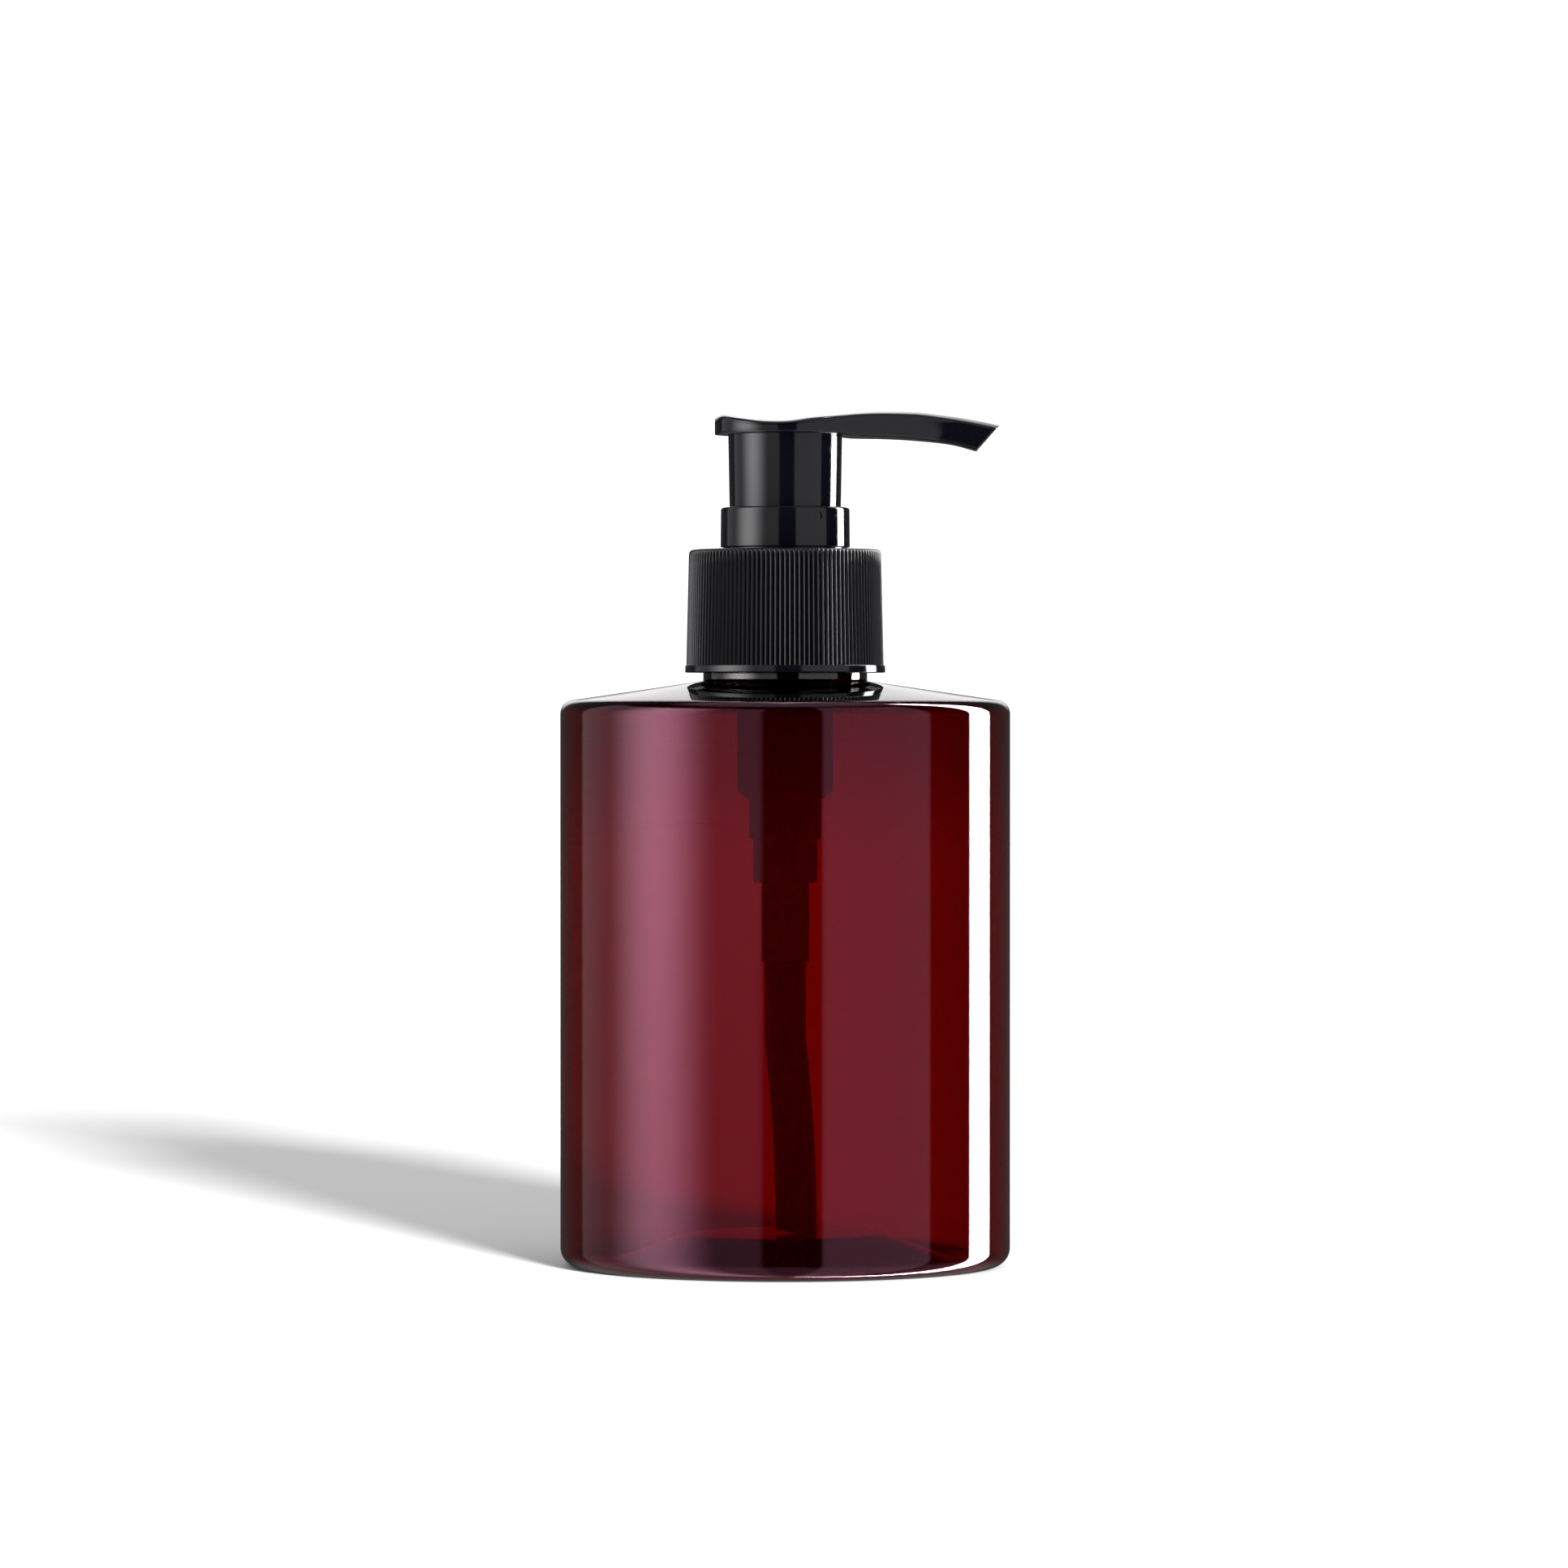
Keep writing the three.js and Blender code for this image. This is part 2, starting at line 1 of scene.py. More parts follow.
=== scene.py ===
"""Soap pump dispenser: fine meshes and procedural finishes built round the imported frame."""
import math

import bmesh
import bpy
from bpy.props import FloatProperty, FloatVectorProperty, IntProperty, PointerProperty
from mathutils import Matrix, Vector


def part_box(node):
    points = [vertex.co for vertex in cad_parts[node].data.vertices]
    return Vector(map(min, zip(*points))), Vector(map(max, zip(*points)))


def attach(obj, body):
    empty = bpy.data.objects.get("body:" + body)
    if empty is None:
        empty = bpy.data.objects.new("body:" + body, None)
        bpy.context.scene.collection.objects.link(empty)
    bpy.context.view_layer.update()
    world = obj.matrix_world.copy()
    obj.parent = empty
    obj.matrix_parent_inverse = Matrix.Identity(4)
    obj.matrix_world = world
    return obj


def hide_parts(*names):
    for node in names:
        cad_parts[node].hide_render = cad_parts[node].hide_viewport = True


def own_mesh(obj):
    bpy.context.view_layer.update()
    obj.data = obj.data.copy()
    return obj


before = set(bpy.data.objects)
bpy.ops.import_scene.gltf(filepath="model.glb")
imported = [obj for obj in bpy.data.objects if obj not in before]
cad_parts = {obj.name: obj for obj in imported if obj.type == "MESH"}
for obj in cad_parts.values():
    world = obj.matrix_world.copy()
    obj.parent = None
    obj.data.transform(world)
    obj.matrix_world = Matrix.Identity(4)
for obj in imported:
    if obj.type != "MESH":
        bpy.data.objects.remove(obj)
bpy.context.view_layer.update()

bl_info = {
    "name": "Soap Pump Dispenser",
    "version": (1, 0, 0),
    "blender": (4, 5, 0),
    "location": "3D View > Sidebar > Dispenser",
    "description": "Builds the bottle, closure and lotion pump with their finishes",
    "category": "Add Mesh",
}

MM = 0.001
TURN = 2 * math.pi


# ---------- sizes read from the frame ----------

def span(node):
    """Outer radius, lowest height and highest height of a node that stands on the Z axis."""
    low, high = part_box(node)
    return high.y, low.z, high.z


BODY_R, FOOT_Z, NECK_TOP = span("bottle")
CLOSURE_R, CLOSURE_BOTTOM, CLOSURE_TOP = span("closure")
_, HOUSING_BOTTOM, HOUSING_TOP = span("pump_housing")
RING_R, GUIDE_BOTTOM, RING_TOP = span("lock_collar")
STOP_R, STEM_BOTTOM, STEM_TOP = span("main_stem")
_, VALVE_BOTTOM, ROD_TOP = span("piston_rod")
_, SEAL_BOTTOM, SEAL_TOP = span("piston_seal")
_, SPRING_BOTTOM, SPRING_TOP = span("spring")
_, BALL_BOTTOM, BALL_TOP = span("inlet_ball")
GASKET_R, GASKET_BOTTOM, GASKET_TOP = span("gasket")
TUBE_R, TUBE_BOTTOM, TUBE_TOP = span("dip_tube")
REST_R, SKIRT_BOTTOM, HEAD_TOP = span("actuator_head")
NOZZLE_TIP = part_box("actuator_head")[1].x
TUBE_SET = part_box("dip_tube")[1].x - TUBE_R


# ---------- what a user would change ----------

def length(name, description, default):
    return FloatProperty(name=name, description=description, default=default, min=0.0,
                         unit="LENGTH", precision=5)


def angle(name, description, default):
    return FloatProperty(name=name, description=description, default=math.radians(default),
                         unit="ROTATION")


def colour(name, description, default):
    return FloatVectorProperty(name=name, description=description, default=default,
                               subtype="COLOR", min=0.0, max=1.0)


def share(name, description, default):
    return FloatProperty(name=name, description=description, default=default,
                         subtype="FACTOR", min=0.0, max=1.0)


class DispenserBottle(bpy.types.PropertyGroup):
    """Shape and tint of the bottle."""

    wall_low: length("Lower wall", "Wall thickness of the side", 0.8 * MM)
    wall_high: length("Upper wall", "Wall thickness at the edge rounding", 1.0 * MM)
    wall_neck: length("Neck foot wall", "Wall thickness where the neck starts", 2.3 * MM)
    wall_base: length("Base wall", "Wall thickness at the middle of the base", 2.4 * MM)
    heel: length("Heel radius", "Rounding between the side and the foot", 3.0 * MM)
    edge: length("Edge radius", "Rounding between the side and the shoulder", 2.3 * MM)
    edge_height: length("Edge height", "Height of the centre of the edge rounding", 92.0 * MM)
    slope: angle("Shoulder slope", "Rise of the shoulder towards the neck", 8.6)
    neck_radius: length("Neck bead radius", "Radius of the bead under the thread", 13.67 * MM)
    neck_foot: length("Neck foot", "Height where the neck leaves the shoulder", 97.5 * MM)
    tint: colour("Tint", "What the wall lets through", (0.724, 0.0, 0.035))
    density: FloatProperty(name="Tint density", description="Absorption per metre of wall",
                           default=5000.0, min=0.0)
    sheen: colour("Sheen", "Tint of a square-on reflection", (0.85, 0.34, 0.54))


class DispenserClosure(bpy.types.PropertyGroup):
    """Shape and colour of the ribbed closure."""

    ribs: IntProperty(name="Ribs", description="Grip ribs round the closure", default=126, min=12)
    rib_depth: length("Rib depth", "Height of a rib above the groove", 0.58 * MM)
    top_radius: length("Top radius", "Radius over the ribs at the top", 16.15 * MM)
    bottom_radius: length("Bottom radius", "Radius over the ribs at the bottom", 16.5 * MM)
    rib_foot: length("Rib foot", "Height where the ribs start", 100.1 * MM)
    shade: colour("Colour", "Colour of the satin plastic", (0.0068, 0.0068, 0.0112))


class DispenserPump(bpy.types.PropertyGroup):
    """Shape and colours of the pump."""

    bore: length("Chamber bore", "Radius of the pump chamber", 7.12 * MM)
    wire: length("Spring wire", "Radius of the spring's wire", 0.45 * MM)
    coils: IntProperty(name="Coils", description="Turns of the spring", default=8, min=3)
    press: length("Stroke", "Travel of the head", 11.0 * MM)
    housing_clarity: share("Housing clarity", "Share of light through the housing", 0.12)
    tube_clarity: share("Tube clarity", "Share of light through the dip tube", 0.62)
    gloss: colour("Gloss black", "Colour of the head and the lock collar", (0.0042, 0.0044, 0.0085))
    natural: colour("Natural", "Colour of the undyed plastic", (0.86, 0.84, 0.79))


class DispenserStage(bpy.types.PropertyGroup):
    """Camera and studio."""

    distance: length("Distance", "Camera to the bottle's axis", 1.2)
    eye: length("Eye height", "Height of the camera", 94.4 * MM)
    aim: length("Aim height", "Height at the middle of the view", 80.3 * MM)
    lens: FloatProperty(name="Lens", description="Focal length in millimetres on a 36 mm sensor",
                        default=165.2, min=1.0)
    floor: colour("Floor", "Colour of the floor", (0.86, 0.86, 0.86))
    backdrop: FloatProperty(name="Backdrop", description="Brightness of the white backdrop",
                            default=1.25, min=0.0)
    inner_fill: FloatProperty(name="Inner fill", description="Scattered light into the bottle",
                              default=0.3, min=0.0)
    fill: FloatProperty(name="Fill", description="Strength of the even studio light",
                        default=0.62, min=0.0)
    key: FloatProperty(name="Key", description="Strength of the low soft key light", default=11.0,
                       min=0.0)
    key_rise: angle("Key height", "Angle of the key light above the floor", 14.0)
    key_swing: angle("Key swing", "Angle of the key light from the front towards +X", 20.4)
    key_softness: angle("Key softness", "Angle that the key light spans", 10.0)


GROUPS = {
    "dispenser_bottle": DispenserBottle,
    "dispenser_closure": DispenserClosure,
    "dispenser_pump": DispenserPump,
    "dispenser_stage": DispenserStage,
}


# ---------- shader maths ----------

class Value:
    """A socket that Python's operators work on; each operation adds one Math node."""

    def __init__(self, maker, socket):
        self.maker = maker
        self.socket = socket

    def math(self, operation, *operands):
        return self.maker.node("ShaderNodeMath", {"operation": operation},
                               dict(enumerate(operands)))

    def __add__(self, other):
        return self.math("ADD", self, other)

    def __sub__(self, other):
        return self.math("SUBTRACT", self, other)

    def __rsub__(self, other):
        return self.math("SUBTRACT", other, self)

    def __mul__(self, other):
        return self.math("MULTIPLY", self, other)

    __radd__ = __add__
    __rmul__ = __mul__


class Maker:
    """Adds nodes to one tree and links them."""

    def __init__(self, tree):
        self.tree = tree
        tree.nodes.clear()

    def node(self, kind, settings=None, inputs=None, output=0):
        """A node of this kind; settings are set before its sockets, and inputs may be Values."""
        made = self.tree.nodes.new(kind)
        for name, value in (settings or {}).items():
            setattr(made, name, value)
        for name, value in (inputs or {}).items():
            socket = made.inputs[name]
            if isinstance(value, Value):
                self.tree.links.new(value.socket, socket)
            else:
                socket.default_value = value
        return Value(self, made.outputs[output]) if made.outputs else None

    def smooth(self, value, low, high):
        """0 below low, 1 above high, and an S curve between them."""
        return self.node("ShaderNodeMapRange", {"interpolation_type": "SMOOTHSTEP"},
                         {0: value, 1: low, 2: high, 3: 0.0, 4: 1.0})

    def mix(self, factor, a, b):
        return self.node("ShaderNodeMix", {"data_type": "RGBA"}, {0: factor, 6: a, 7: b}, 2)

    def place(self, stretch=(1, 1, 1)):
        """The point on the surface, in metres, with each axis stretched."""
        point = self.node("ShaderNodeTexCoord", output=3)
        return self.node("ShaderNodeVectorMath", {"operation": "MULTIPLY"},
                         {0: point, 1: stretch})

    def noise(self, scale, detail, stretch=(1, 1, 1)):
        return self.node("ShaderNodeTexNoise", None,
                         {"Vector": self.place(stretch), "Scale": scale, "Detail": detail,
                          "Roughness": 0.55})

    def bump(self, height, strength, distance, under=None):
        inputs = {"Height": height, "Strength": strength, "Distance": distance}
        if under is not None:
            inputs["Normal"] = under
        return self.node("ShaderNodeBump", None, inputs)


def rgba(values, gain=1.0):
    return (values[0] * gain, values[1] * gain, values[2] * gain, 1.0)


def material(name):
    made = bpy.data.materials.new(name)
    made.use_nodes = True
    return made, Maker(made.node_tree)


def finished(made, maker, inputs):
    """Closes a material with one Principled shader."""
    shader = maker.node("ShaderNodeBsdfPrincipled", None, inputs)
    maker.node("ShaderNodeOutputMaterial", None, {"Surface": shader})
    return made


def tinted_pet(sizes):
    """Burgundy see-through plastic: the colour is in the wall, so it deepens at the edges."""
    made, maker = material("burgundy_pet")
    draw = maker.noise(26.0, 2.0, (1, 1, 0.18))
    haze = maker.noise(420.0, 2.0)
    skin = {
        "Base Color": maker.mix(haze, (1.0, 1.0, 1.0, 1), (0.985, 0.985, 0.985, 1)),
        "Roughness": 0.008 + 0.012 * haze,
        "IOR": 1.7,
        "Transmission Weight": 1.0,
        "Normal": maker.bump(draw, 0.05, 0.0006),
    }
    body = maker.node("ShaderNodeBsdfPrincipled", None,
                      skin | {"Specular Tint": rgba(sizes.sheen)})
    neck = maker.node("ShaderNodeBsdfPrincipled", None, skin)
    height = maker.node("ShaderNodeSeparateXYZ", None, {0: maker.place()}, 2)
    foot = sizes.neck_foot
    above = maker.smooth(height, foot - 1.0 * MM, foot)
    tint = maker.node("ShaderNodeVolumeAbsorption", None,
                      {"Color": rgba(sizes.tint), "Density": sizes.density})
    maker.node("ShaderNodeOutputMaterial", None, {
        "Surface": maker.node("ShaderNodeMixShader", None, {0: above, 1: body, 2: neck}),
        "Volume": tint,
    })
    return made


def gloss_black(shade):
    """Polished moulded black plastic with faint flow waviness and fine rubbing marks."""
    made, maker = material("gloss_black_plastic")
    flow = maker.noise(60.0, 2.0)
    specks = maker.noise(2600.0, 4.0)
    rubs = maker.smooth(maker.noise(900.0, 2.0, (0.08, 1, 1)), 0.56, 0.72)
    return finished(made, maker, {
        "Base Color": maker.mix(specks, rgba(shade, 0.8), rgba(shade, 1.35)),
        "Roughness": 0.055 + 0.04 * specks + 0.05 * rubs,
        "IOR": 1.49,
        "Normal": maker.bump(specks, 0.03, 0.00004, maker.bump(flow, 0.05, 0.0004)),
    })


def satin_black(shade, rib_foot):
    """Moulded black plastic, satin on the ribs and polished on the lip under them."""
    made, maker = material("satin_black_plastic")
    grain = maker.noise(5200.0, 3.0)
    patches = maker.noise(140.0, 3.0)
    height = maker.node("ShaderNodeSeparateXYZ", None, {0: maker.place()}, 2)
    satin = maker.smooth(height, rib_foot - 0.1 * MM, rib_foot + 0.1 * MM)
    return finished(made, maker, {
        "Base Color": maker.mix(patches, rgba(shade, 0.8), rgba(shade, 1.5)),
        "Roughness": 0.06 + 0.04 * patches + satin * (0.19 + 0.07 * grain),
        "IOR": 1.49,
        "Normal": maker.bump(grain, 0.10, 0.00003),
    })


def natural_plastic(name, shade, clear, rough):
    """Undyed plastic that scatters the light that it lets through."""
    made, maker = material(name)
    cloud = maker.noise(95.0, 3.0)
    skin = maker.noise(1900.0, 2.0)
    return finished(made, maker, {
        "Base Color": maker.mix(cloud, rgba(shade, 0.93), rgba(shade)),
        "Roughness": rough + 0.08 * skin,
        "IOR": 1.5,
        "Transmission Weight": clear,
        "Normal": maker.bump(skin, 0.05, 0.00004),
    })


def soft_seal():
    made, maker = material("soft_white_seal")
    skin = maker.noise(2400.0, 3.0)
    return finished(made, maker, {
        "Base Color": maker.mix(skin, (0.80, 0.79, 0.75, 1), (0.88, 0.87, 0.84, 1)),
        "Roughness": 0.42 + 0.14 * skin,
        "Normal": maker.bump(skin, 0.08, 0.00004),
    })


def gasket_foam():
    """Fine closed-cell foam, with the cells cut open on its faces."""
    made, maker = material("gasket_foam")
    cells = maker.node("ShaderNodeTexVoronoi", None, {"Vector": maker.place(), "Scale": 3400.0})
    return finished(made, maker, {
        "Base Color": maker.mix(cells, (0.90, 0.90, 0.88, 1), (0.70, 0.70, 0.68, 1)),
        "Roughness": 0.78 + 0.12 * cells,
        "Normal": maker.bump(cells, 0.35, 0.00008),
    })


def drawn_steel():
    """Stainless wire with the fine lengthwise marks of the die."""
    made, maker = material("drawn_steel_wire")
    lines = maker.noise(700.0, 3.0, (1, 1, 14))
    return finished(made, maker, {
        "Base Color": maker.mix(lines, (0.50, 0.50, 0.51, 1), (0.66, 0.66, 0.67, 1)),
        "Metallic": 1.0,
        "Roughness": 0.18 + 0.18 * lines,
        "Normal": maker.bump(lines, 0.12, 0.00003),
    })


def polished_steel():
    made, maker = material("polished_steel_ball")
    marks = maker.smooth(maker.noise(1500.0, 4.0), 0.55, 0.75)
    return finished(made, maker, {
        "Base Color": maker.mix(marks, (0.66, 0.67, 0.69, 1), (0.55, 0.56, 0.58, 1)),
        "Metallic": 1.0,
        "Roughness": 0.05 + 0.12 * marks,
    })


def floor_paper(shade):
    made, maker = material("studio_floor")
    fibre = maker.noise(240.0, 3.0)
    return finished(made, maker, {
        "Base Color": maker.mix(fibre, rgba(shade, 0.99), rgba(shade, 1.01)),
        "Roughness": 0.9,
        "Specular IOR Level": 0.0,
    })


# ---------- mesh work ----------

def smoothstep(low, high, x):
    t = min(1.0, max(0.0, (x - low) / (high - low)))
    return t * t * (3 - 2 * t)


def arc(x, y, radius, start, end, steps):
    return [(x + radius * math.cos(start + (end - start) * i / steps),
             y + radius * math.sin(start + (end - start) * i / steps))
            for i in range(steps + 1)]


def rounded(corners):
    """Turns (radius, height, rounding) corners into an outline that curves round its corners."""
    points = []
    count = len(corners)
    for i, (x, y, radius) in enumerate(corners):
        here = Vector((x, y))
        if radius <= 0 or i in (0, count - 1):
            points.append(here)
            continue
        to_last = Vector(corners[i - 1][:2]) - here
        to_next = Vector(corners[i + 1][:2]) - here
        turn = to_last.angle(to_next)
        back = radius / math.tan(turn / 2)
        back = min(back, 0.49 * to_last.length, 0.49 * to_next.length)
        start = here + to_last.normalized() * back
        end = here + to_next.normalized() * back
        steps = max(3, int((math.pi - turn) / math.radians(11)))
        for k in range(steps + 1):
            t = k / steps
            points.append(start * (1 - t) ** 2 + here * 2 * t * (1 - t) + end * t ** 2)
    return points


def divided(points, longest):
    """The same outline with extra points, so that no step is longer than this."""
    finer = []
    for here, there in zip(points, points[1:]):
        here = Vector(here)
        there = Vector(there)
        pieces = max(1, math.ceil((there - here).length / longest))
        finer += [here.lerp(there, k / pieces) for k in range(pieces)]
    return finer + [Vector(points[-1])]


def add_grid(mesh, rows, ends=True):
    """Skins closed rows of points with quads; ends caps the first row and the last."""
    loops = []
    for row in rows:
        loops.append([mesh.verts.new(point) for point in row])
    count = len(loops[0])
    for low, high in zip(loops, loops[1:]):
        for i in range(count):
            j = (i + 1) % count
            mesh.faces.new((low[i], low[j], high[j], high[i]))
    if ends:
        mesh.faces.new(list(reversed(loops[0])))
        mesh.faces.new(loops[-1])
    return loops


def add_turned(mesh, outline, segments, wave=None):
    """Turns an outline about Z; a closed outline repeats its first point at the end.
    wave gives how much is added to the radius at an angle and a place on the outline."""
    columns = []
    for i in range(segments):
        phi = TURN * i / segments
        column = []
        for k, (radius, height) in enumerate(outline):
            r = radius + (wave(phi, k) if wave else 0.0)
            column.append(mesh.verts.new((r * math.cos(phi), r * math.sin(phi), height)))
        columns.append(column)
    for i in range(segments):
        here, there = columns[i], columns[(i + 1) % segments]
        for k in range(len(outline) - 1):
            mesh.faces.new((here[k], there[k], there[k + 1], here[k + 1]))


def add_helix(mesh, section, radius, height, turns, steps, swell=lambda t: 1.0):
    """Sweeps an (outward, upward) section round Z while height(t) climbs, with closed ends."""
    rows = []
    count = int(turns * steps)
    for i in range(count + 1):
        t = i / count
        phi = TURN * turns * t
        row = []
        for out, up in section:
            r = radius + out * swell(t)
            row.append((r * math.cos(phi), r * math.sin(phi), height(t) + up))
        rows.append(row)
    add_grid(mesh, rows)


def circle(radius, count):
    return [(radius * math.cos(TURN * i / count), radius * math.sin(TURN * i / count))
            for i in range(count)]


def thread_section(wall, crest):
    """Trapezium of a thread ridge, rooted a little inside its wall."""
    sink = -0.25 * MM if crest > wall else 0.25 * MM
    rise = crest - wall
    corners = [(sink, -0.95 * MM, 0), (0, -0.95 * MM, 0), (rise, -0.55 * MM, 0.2 * MM),
               (rise, 0.55 * MM, 0.2 * MM), (0, 0.95 * MM, 0), (sink, 0.95 * MM, 0)]
    return [tuple(p) for p in rounded(corners)]


PITCH = 4.23 * MM
THREAD_TURNS = 1.25


def add_thread(mesh, wall, crest, bottom):
    """A ridge from wall to crest that climbs round Z and sinks away at its ends."""
    fade = 0.07
    add_helix(mesh, thread_section(wall, crest), wall, lambda t: bottom + PITCH * THREAD_TURNS * t,
              THREAD_TURNS, 96, lambda t: min(1.0, 0.2 + min(t, 1 - t) / fade))


SAME_POINT = 1e-7
NO_LENGTH = 1e-8
SHARP = 32


def loose(mesh, name):
    """A bmesh as an object of the scene, with its points merged and its faces pointing out."""
    bmesh.ops.remove_doubles(mesh, verts=mesh.verts, dist=SAME_POINT)
    bmesh.ops.recalc_face_normals(mesh, faces=mesh.faces)
    data = bpy.data.meshes.new(name)
    mesh.to_mesh(data)
    mesh.free()
    made = bpy.data.objects.new(name, data)
    bpy.context.scene.collection.objects.link(made)
    return made


def smoothed(made, sharp=SHARP):
    """Smooth shading, with the edges that turn by more than this many degrees kept sharp."""
    made.data.shade_smooth()
    made.data.set_sharp_from_angle(angle=math.radians(sharp))


def settled(mesh, name, finish, body, node, sharp=SHARP):
    """Cleans a bmesh, makes it an object with its finish, and hangs it on its body."""
    bmesh.ops.remove_doubles(mesh, verts=mesh.verts, dist=SAME_POINT)
    bmesh.ops.dissolve_degenerate(mesh, edges=mesh.edges, dist=NO_LENGTH)
    made = loose(mesh, name)
    smoothed(made, sharp)
    made.data.materials.append(finish)
    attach(made, body)
    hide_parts(node)
    return made


def cut(target, tool, operation="DIFFERENCE"):
    """Joins or cuts target with tool, which is then removed."""
    change = target.modifiers.new("cut", "BOOLEAN")
    change.operation = operation
    change.solver = "EXACT"
    change.object = tool
    bpy.context.view_layer.update()
    result = bpy.data.meshes.new_from_object(
        target.evaluated_get(bpy.context.evaluated_depsgraph_get()))
    target.modifiers.clear()
    target.data = result
    bpy.data.objects.remove(tool)


# ---------- bottle ----------

def push_up(radius, rise, rim_wall=0.0, middle_wall=0.0):
    """The domed base from its centre out to the foot ring, raised by a wall if it is the inside."""
    steps = 20
    plateau = 0.45
    points = []
    for i in range(steps + 1):
        t = i / steps
        up = 1 - smoothstep(plateau, 1, t)
        wall = rim_wall + (middle_wall - rim_wall) * up
        points.append((radius * t, rise * up + wall))
    return points


THICK_FROM = 66.0 * MM  # the side wall thickens from here up to the edge rounding
DOME_R = 31.0 * MM  # the foot ring lies outside the domed base
DOME_RISE = 3.0 * MM
NECK_STEP = 1.07 * MM  # from the bead in to the threaded wall
NECK_WALL = 1.1 * MM
BOTTLE_SEGMENTS = 192
BOTTLE_SHARP = 40


def bottle_outline(sizes):
    """Outer skin up to the neck's rim, then the inner skin back down to the centre of the base."""
    quarter = math.pi / 2
    slope_end = quarter - sizes.slope
    heel_x = BODY_R - sizes.heel
    edge_x = BODY_R - sizes.edge
    neck = sizes.neck_radius
    neck_wall = neck - NECK_STEP
    neck_bore = neck_wall - NECK_WALL
    outer = push_up(DOME_R, DOME_RISE)
    outer += arc(heel_x, sizes.heel, sizes.heel, -quarter, 0, 16)
    outer += arc(edge_x, sizes.edge_height, sizes.edge, 0, slope_end, 14)
    outer += [tuple(p) for p in rounded([
        (outer[-1][0], outer[-1][1], 0),
        (neck, sizes.neck_foot, 0.45 * MM),
        (neck, sizes.neck_foot + 2.1 * MM, 0.3 * MM),
        (neck_wall, sizes.neck_foot + 2.7 * MM, 0.3 * MM),
        (neck_wall, NECK_TOP, 0.4 * MM),
        (neck_bore, NECK_TOP, 0.4 * MM),
        (neck_bore, sizes.neck_foot - sizes.wall_neck, 1.2 * MM),
        (edge_x + (sizes.edge - sizes.wall_high) * math.cos(slope_end),
         sizes.edge_height + (sizes.edge - sizes.wall_high) * math.sin(slope_end), 0),
    ])][1:]
    outer += arc(edge_x, sizes.edge_height, sizes.edge - sizes.wall_high, slope_end, 0, 12)[1:]
    steps = 16
    for i in range(1, steps + 1):
        height = sizes.edge_height + (THICK_FROM - sizes.edge_height) * i / steps
        thick = smoothstep(THICK_FROM, sizes.edge_height, height)
        wall = sizes.wall_low + (sizes.wall_high - sizes.wall_low) * thick
        outer.append((BODY_R - wall, height))
    outer += arc(heel_x, sizes.heel, sizes.heel - sizes.wall_low, 0, -quarter, 12)
    outer += list(reversed(push_up(DOME_R, DOME_RISE, sizes.wall_low, sizes.wall_base)))
    return outer


class DISPENSER_OT_bottle(bpy.types.Operator):
    """Build the see-through bottle with its threaded neck"""

    bl_idname = "dispenser.bottle"
    bl_label = "Bottle"

    def execute(self, context):
        sizes = context.scene.dispenser_bottle
        mesh = bmesh.new()
        add_turned(mesh, divided(bottle_outline(sizes), 6.0 * MM), BOTTLE_SEGMENTS)
        made = settled(mesh, "bottle_blown", tinted_pet(sizes), "bottle_body", "bottle",
                       BOTTLE_SHARP)
        ridge = bmesh.new()
        neck_wall = sizes.neck_radius - NECK_STEP
        add_thread(ridge, neck_wall, sizes.neck_radius + 0.08 * MM, NECK_TOP - 8.7 * MM)
        cut(made, loose(ridge, "neck_thread"), "UNION")
        smoothed(made, BOTTLE_SHARP)
        return {"FINISHED"}


# ---------- closure ----------

HOLE_R = 10.55 * MM
CAP_BORE_R = 14.25 * MM
CAP_THREAD_R = 13.1 * MM
CAP_ROOF = 1.7 * MM
RIBS_OUTSIDE_R = 14.6 * MM  # points of the outline nearer the axis carry no ribs
RIB_STEPS = 8  # segments to a rib
RIB_SHAPE = 0.58  # below 1 the crests are broad and the grooves narrow


def closure_outline(sizes):
    """Outline from the hole's top, over the outside, round the bottom and back up the bore."""
    top_r = sizes.top_radius
    bottom_r = sizes.bottom_radius
    corners = [
        (HOLE_R, CLOSURE_TOP, 0),
        (10.75 * MM, CLOSURE_TOP, 0),
        (top_r - 0.1 * MM, CLOSURE_TOP, 1.0 * MM),
        (bottom_r, sizes.rib_foot, 0),
        (CLOSURE_R - 0.05 * MM, sizes.rib_foot - 0.03 * MM, 0.12 * MM),
        (CLOSURE_R, CLOSURE_BOTTOM, 0.25 * MM),
        (CAP_BORE_R, CLOSURE_BOTTOM, 0.3 * MM),
        (CAP_BORE_R, CLOSURE_TOP - CAP_ROOF, 0.3 * MM),
        (HOLE_R, CLOSURE_TOP - CAP_ROOF, 0.1 * MM),
        (HOLE_R, CLOSURE_TOP, 0),
    ]
    return divided(rounded(corners), 1.6 * MM)


